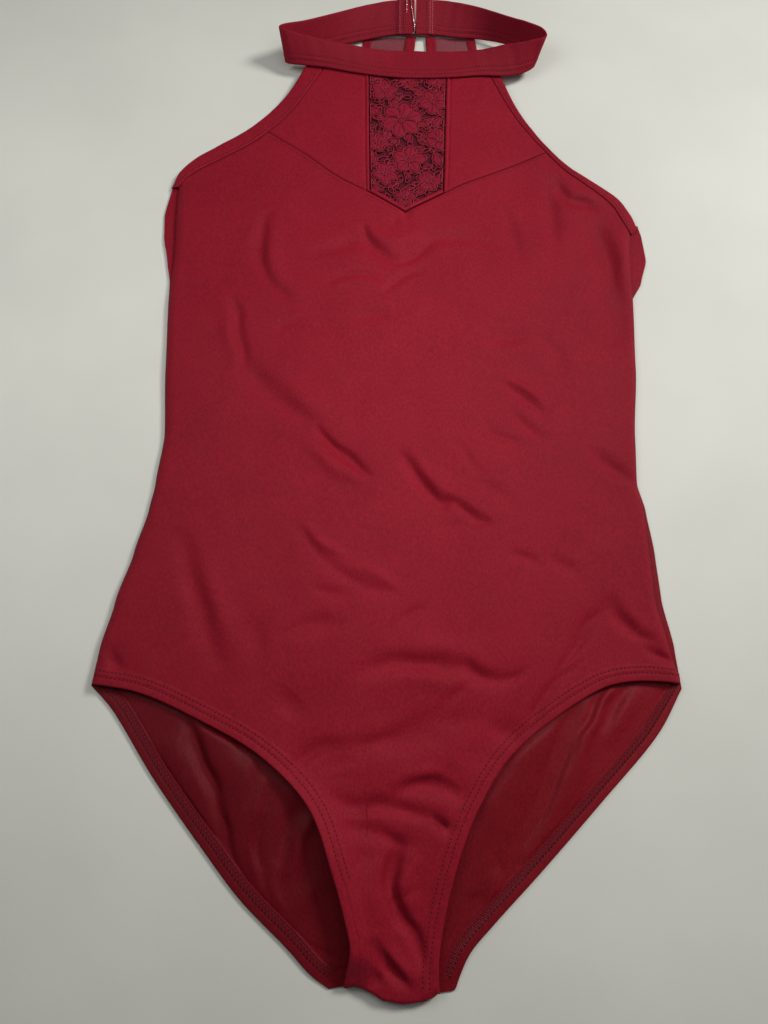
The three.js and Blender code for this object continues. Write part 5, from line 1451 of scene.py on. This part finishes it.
def band_surface(section, height, inner=False):
    section, height = np.broadcast_arrays(np.asarray(section, float), np.asarray(height, float))
    step = 0.05
    ahead = band_middle(np.minimum(section + step, LAST_BAND_ROW), height)
    along = ahead - band_middle(np.maximum(section - step, 0), height)
    upward = band_top(section) - band_foot(section)
    tall = np.linalg.norm(upward, axis=-1)
    normal = np.cross(along, upward)
    normal /= np.linalg.norm(normal, axis=-1, keepdims=True)
    from_foot, from_top = height * tall, (1 - height) * tall
    half = BAND_WALL / 2
    half = half * np.sqrt(1 - np.clip(1 - np.minimum(from_foot, from_top) / 0.9, 0, 1) ** 2)
    half = half + sum(groove(from_foot - up, 0.5, 0.14) for up in BAND_ROWS_UP)
    half = half + 0.12 * np.exp(-(((from_foot - sum(BAND_ROWS_UP) / 2) / 1.0) ** 2))
    waves = 0.16 * np.sin(section * 9.0 + height * 3) * np.sin(section * 2.3 + 1)
    ripple = waves * smooth_step(height, 0, 0.4)
    if inner:
        from_end = np.minimum(section, LAST_BAND_ROW - section)
        tab = TAB_EXTRA * (1 - smooth_step(from_end, TAB_END - 0.04, TAB_END))
        return band_middle(section, height) + normal * (ripple - half - tab)[..., None]
    return band_middle(section, height) + normal * (ripple + half)[..., None]


def neckband():
    tab = np.array([0, 0.3, 0.6, TAB_END - 0.05, TAB_END - 0.03, TAB_END - 0.01, TAB_END + 0.01])
    sections = np.concatenate([tab, np.linspace(1, LAST_BAND_ROW - 1, 420), LAST_BAND_ROW - tab[::-1]])
    low = np.array([0, 0.01, 0.025, 0.05, 0.08])
    heights = np.concatenate([low, np.linspace(0.1, 0.42, 15), np.linspace(0.46, 0.9, 9), 1 - low[::-1]])
    outer = band_surface(sections, heights[:, None])
    inner = band_surface(sections, heights[:, None], True)
    along = path_lengths(band_middle(sections, np.full(len(sections), 0.5)))
    weave = stacked(along[None, :], heights[:, None] * 23.0, 0.0)
    return shell("neckband_cloth", outer, inner, band_knit, weave)


def band_path(sections, up, inner=False):
    """Path along the band at a distance above its foot, with normals that face out of that side."""
    tall = np.linalg.norm(band_top(sections) - band_foot(sections), axis=-1)
    height = np.clip(up / tall, 0, 0.99)
    points = band_surface(sections, height, inner)
    return points, unit(points - band_surface(sections, height, not inner))


def neckband_threads():
    threads = Threads()
    sections = np.linspace(TAB_END + 0.15, LAST_BAND_ROW - TAB_END - 0.15, 2400)
    for up in BAND_ROWS_UP:
        stitch(threads, *band_path(sections, up))
        stitch(threads, *band_path(sections, up, True), radius=0.2)
    return threads.build("neckband_threads", [thread, needle_hole_shade])


def tab_threads():
    """Overlocked raw ends of the two tabs, and the rows that hold them down."""
    threads = Threads()
    up = np.linspace(0.6, 22.6, 160)
    for side in (0, 1):
        def at(inset):
            section = TAB_END + inset
            section = section if side == 0 else LAST_BAND_ROW - section
            return band_path(np.full(up.shape, section), up, True)

        zigzag(threads, at(-0.16), at(0.02), pitch=1.5, radius=0.2, kind=2)
        zigzag(threads, at(-0.16), at(0.02), pitch=1.5, radius=0.18, shift=0.5, kind=0)
        stitch(threads, *at(-0.3), pitch=2.0, radius=0.2)
    return threads.build("tab_threads", [thread, needle_hole_shade, pale_thread])


# Clasp: a clear frame behind each tab, and the hook's tongue in front
def clasp_frame_points():
    end = {name: values[0] for name, values in NECKBAND.items()}
    lean = math.atan2(end["top_z"] - end["foot_z"], end["top_y"] - end["foot_y"])
    tall = math.hypot(end["top_z"] - end["foot_z"], end["top_y"] - end["foot_y"])
    along = np.array([0, math.cos(lean), math.sin(lean)])
    outward = np.array([0, math.sin(lean), -math.cos(lean)])
    foot = np.array([0, end["foot_y"], end["foot_z"]])
    return foot, along, outward, tall


def clasp_half(name, left):
    """Rounded bars round a slot, drawn as one closed ring of tube with a flattened section."""
    foot, along, outward, tall = clasp_frame_points()
    depth = BAND_WALL / 2 + SEAM_GAP + CLASP_THICKNESS / 2
    low, high = tall + CLASP_PROUD - CLASP_LENGTH, tall + CLASP_PROUD
    x0, x1 = left + CLASP_BAR, left + CLASP_WIDTH - CLASP_BAR
    y0, y1 = low + CLASP_BAR, high - CLASP_BAR
    turn = np.linspace(0, np.pi / 2, 7)
    ring = []
    for centre_x, centre_y, start in (
        (x1 - CLASP_BEND, y1 - CLASP_BEND, 0), (x0 + CLASP_BEND, y1 - CLASP_BEND, 1),
        (x0 + CLASP_BEND, y0 + CLASP_BEND, 2), (x1 - CLASP_BEND, y0 + CLASP_BEND, 3),
    ):
        angle = turn + start * np.pi / 2
        ring.append(stacked(centre_x + CLASP_BEND * np.cos(angle), centre_y + CLASP_BEND * np.sin(angle)))
    ring = np.concatenate(ring)
    outward_flat = ring - np.roll(ring, 1, axis=0)
    outward_flat = outward_flat + np.roll(outward_flat, -1, axis=0)
    outward_flat /= np.linalg.norm(outward_flat, axis=1, keepdims=True)
    outward_flat = np.stack([outward_flat[:, 1], -outward_flat[:, 0]], axis=1)
    section = np.linspace(0, 2 * np.pi, 12, endpoint=False)
    across = np.sign(np.cos(section)) * np.abs(np.cos(section)) ** 0.6 * CLASP_BAR
    thick = np.sign(np.sin(section)) * np.abs(np.sin(section)) ** 0.6 * CLASP_THICKNESS / 2
    flat = ring[:, None] + outward_flat[:, None] * across[None, :, None]
    points = foot + flat[..., 1:] * along + (depth + thick)[None, :, None] * outward
    points[..., 0] += flat[..., 0]
    count, sides = points.shape[:2]
    number = np.arange(count * sides).reshape(count, sides)
    ahead, turned = np.roll(number, -1, axis=0), np.roll(number, -1, axis=1)
    faces = np.stack([number, turned, np.roll(ahead, -1, axis=1), ahead], axis=-1).reshape(-1, 4)
    return new_object(name, points.reshape(-1, 3), faces.tolist(), [clear_plastic])


def clasp_tongue():
    """Clear rods of the hook that come over the band's top edge and down in front of the left tab."""
    foot, along, outward, tall = clasp_frame_points()
    front = -(BAND_WALL / 2 + TAB_EXTRA + 0.55)
    back = BAND_WALL / 2 + SEAM_GAP + CLASP_THICKNESS / 2
    lines = []
    for x, low, hook, lean in ((19.4, 0.4, -2.2, 2.6), (16.2, tall - 9, 0.0, 0.0)):
        places = np.array([
            (x, tall - 2, back), (x, tall + 1.6, back), (x, tall + 2.1, 0.0), (x, tall + 1.2, front),
            (x + lean * 0.15, tall * 0.75 + low * 0.25, front),
            (x + lean * 0.7, tall * 0.4 + low * 0.6, front), (x + lean, low + 1.4, front),
            (x + lean + hook * 0.4, low + 0.3, front), (x + lean + hook, low, front),
        ])
        curve = row_curve(places)(np.linspace(0, len(places) - 1, 70))
        line = foot + curve[:, 1:2] * along + curve[:, 2:] * outward
        line[:, 0] += curve[:, 0]
        lines.append(line)
    points, faces = tubes(lines, CLASP_ROD, sides=10)
    return new_object("clasp_tongue", points, faces, [clear_plastic])


def finish_piece(piece, slot, *nodes):
    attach(piece, "root")
    if nodes:
        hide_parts(*nodes)


SIDES = "left", "right"
finish_piece(front_body(), "body_knit", "front_body")
finish_piece(back_body(), "body_knit", "back_body")
for side in SIDES:
    piece = front_layer(f"yoke_cloth_{side}", *yoke(side), CLOTH_WALL, body_knit)
    finish_piece(piece, "body_knit", f"yoke_{side}")
finish_piece(lace_panel(), "lace", "lace_panel")
finish_piece(lace_cords(), "lace")
finish_piece(lace_ridge(), "body_knit")
for side, surface in zip(SIDES, (left_binding, right_binding)):
    piece = front_binding(f"binding_{side}_front", surface)
    finish_piece(piece, "binding_knit", f"armhole_binding_{side}_front")
for side, armhole, sign in (("left", BACK_ARMHOLE_LEFT, -1), ("right", BACK_ARMHOLE_RIGHT, 1)):
    piece = back_binding(f"binding_{side}_back", armhole, side, sign)
    finish_piece(piece, "binding_knit", f"armhole_binding_{side}_back")
for side, edges, gaps in (
    ("left", ("left", "binding_left"), (0, SEAM_GAP)), ("right", ("binding_right", "right"), (SEAM_GAP, 0)),
):
    piece = back_strip(f"mesh_{side}", *edges, gaps, MESH_WALL, sheer_mesh, 30)
    finish_piece(piece, "sheer_mesh", f"back_mesh_{side}")
for side, edges in (("left", ("binding_left", "hole_left")), ("right", ("hole_right", "binding_right"))):
    piece = back_strip(f"keyhole_{side}", *edges, (0, 0), BINDING_WALL, binding_knit, 12)
    finish_piece(piece, "binding_knit", f"keyhole_binding_{side}")
finish_piece(neckband(), "binding_knit", "neckband")
for node, left in (
    ("clasp_hook", CLASP_CENTRE_X - SEAM_GAP / 2 - CLASP_WIDTH),
    ("clasp_eye", CLASP_CENTRE_X + SEAM_GAP / 2),
):
    finish_piece(clasp_half(f"{node}_clear", left), "clear_plastic", node)
finish_piece(clasp_tongue(), "clear_plastic")
for sewing in (front_threads, back_threads, yoke_threads):
    finish_piece(sewing(), "body_knit")
for sewing in (binding_threads, back_strap_threads, neckband_threads, tab_threads):
    finish_piece(sewing(), "binding_knit")


# Camera at the photograph's place and angle, on the garment in millimetres
CAMERA_PLACE = np.array([0.0, 127.0, 440.0])
CAMERA_TILT = math.radians(16.4)
CAMERA_LENS = 27.04
camera_data = bpy.data.cameras.new("camera")
camera_data.lens = CAMERA_LENS
camera_data.sensor_width = 36.0
camera = add_object("camera", camera_data)
camera.location = (CAMERA_PLACE - ORIGIN) * MM
camera.rotation_euler = (CAMERA_TILT, 0, 0)
bpy.context.scene.camera = camera


def area_light(name, place, target, size, power, colour=(1, 1, 1)):
    data = bpy.data.lights.new(name, "AREA")
    data.shape = "DISK"
    data.size = size
    data.energy = power
    data.color = colour
    light = add_object(name, data)
    light.location = place
    light.rotation_euler = (Vector(target) - Vector(place)).to_track_quat("-Z", "Y").to_euler()


area_light("key", (0.8, 0.45, 0.8), (0, 0.05, 0), 0.33, 10.8, (1.0, 0.99, 0.97))
area_light("left", (-0.3, 0.1, 0.47), (-0.18, 0.06, 0), 0.4, 1.15)
area_light("near", (0.15, 0.0, 0.47), (0.09, 0.0, 0), 0.4, 0.55)

world = bpy.data.worlds.new("studio")
world.use_nodes = True
background = world.node_tree.nodes["Background"]
background.inputs["Color"].default_value = (0.97, 0.98, 1.0, 1)
background.inputs["Strength"].default_value = 0.09
bpy.context.scene.world = world
bpy.context.scene.view_settings.view_transform = "Standard"

floor_mesh = bpy.data.meshes.new("floor")
FLOOR_HALF = 3.0
corners = [(x * FLOOR_HALF, y * FLOOR_HALF, 0) for x, y in ((-1, -1), (1, -1), (1, 1), (-1, 1))]
floor_mesh.from_pydata(corners, [], [(0, 1, 2, 3)])
floor_mesh.materials.append(floor_material("floor", (0.62, 0.62, 0.562), (0.58, 0.58, 0.526)))
floor = add_object("floor", floor_mesh)
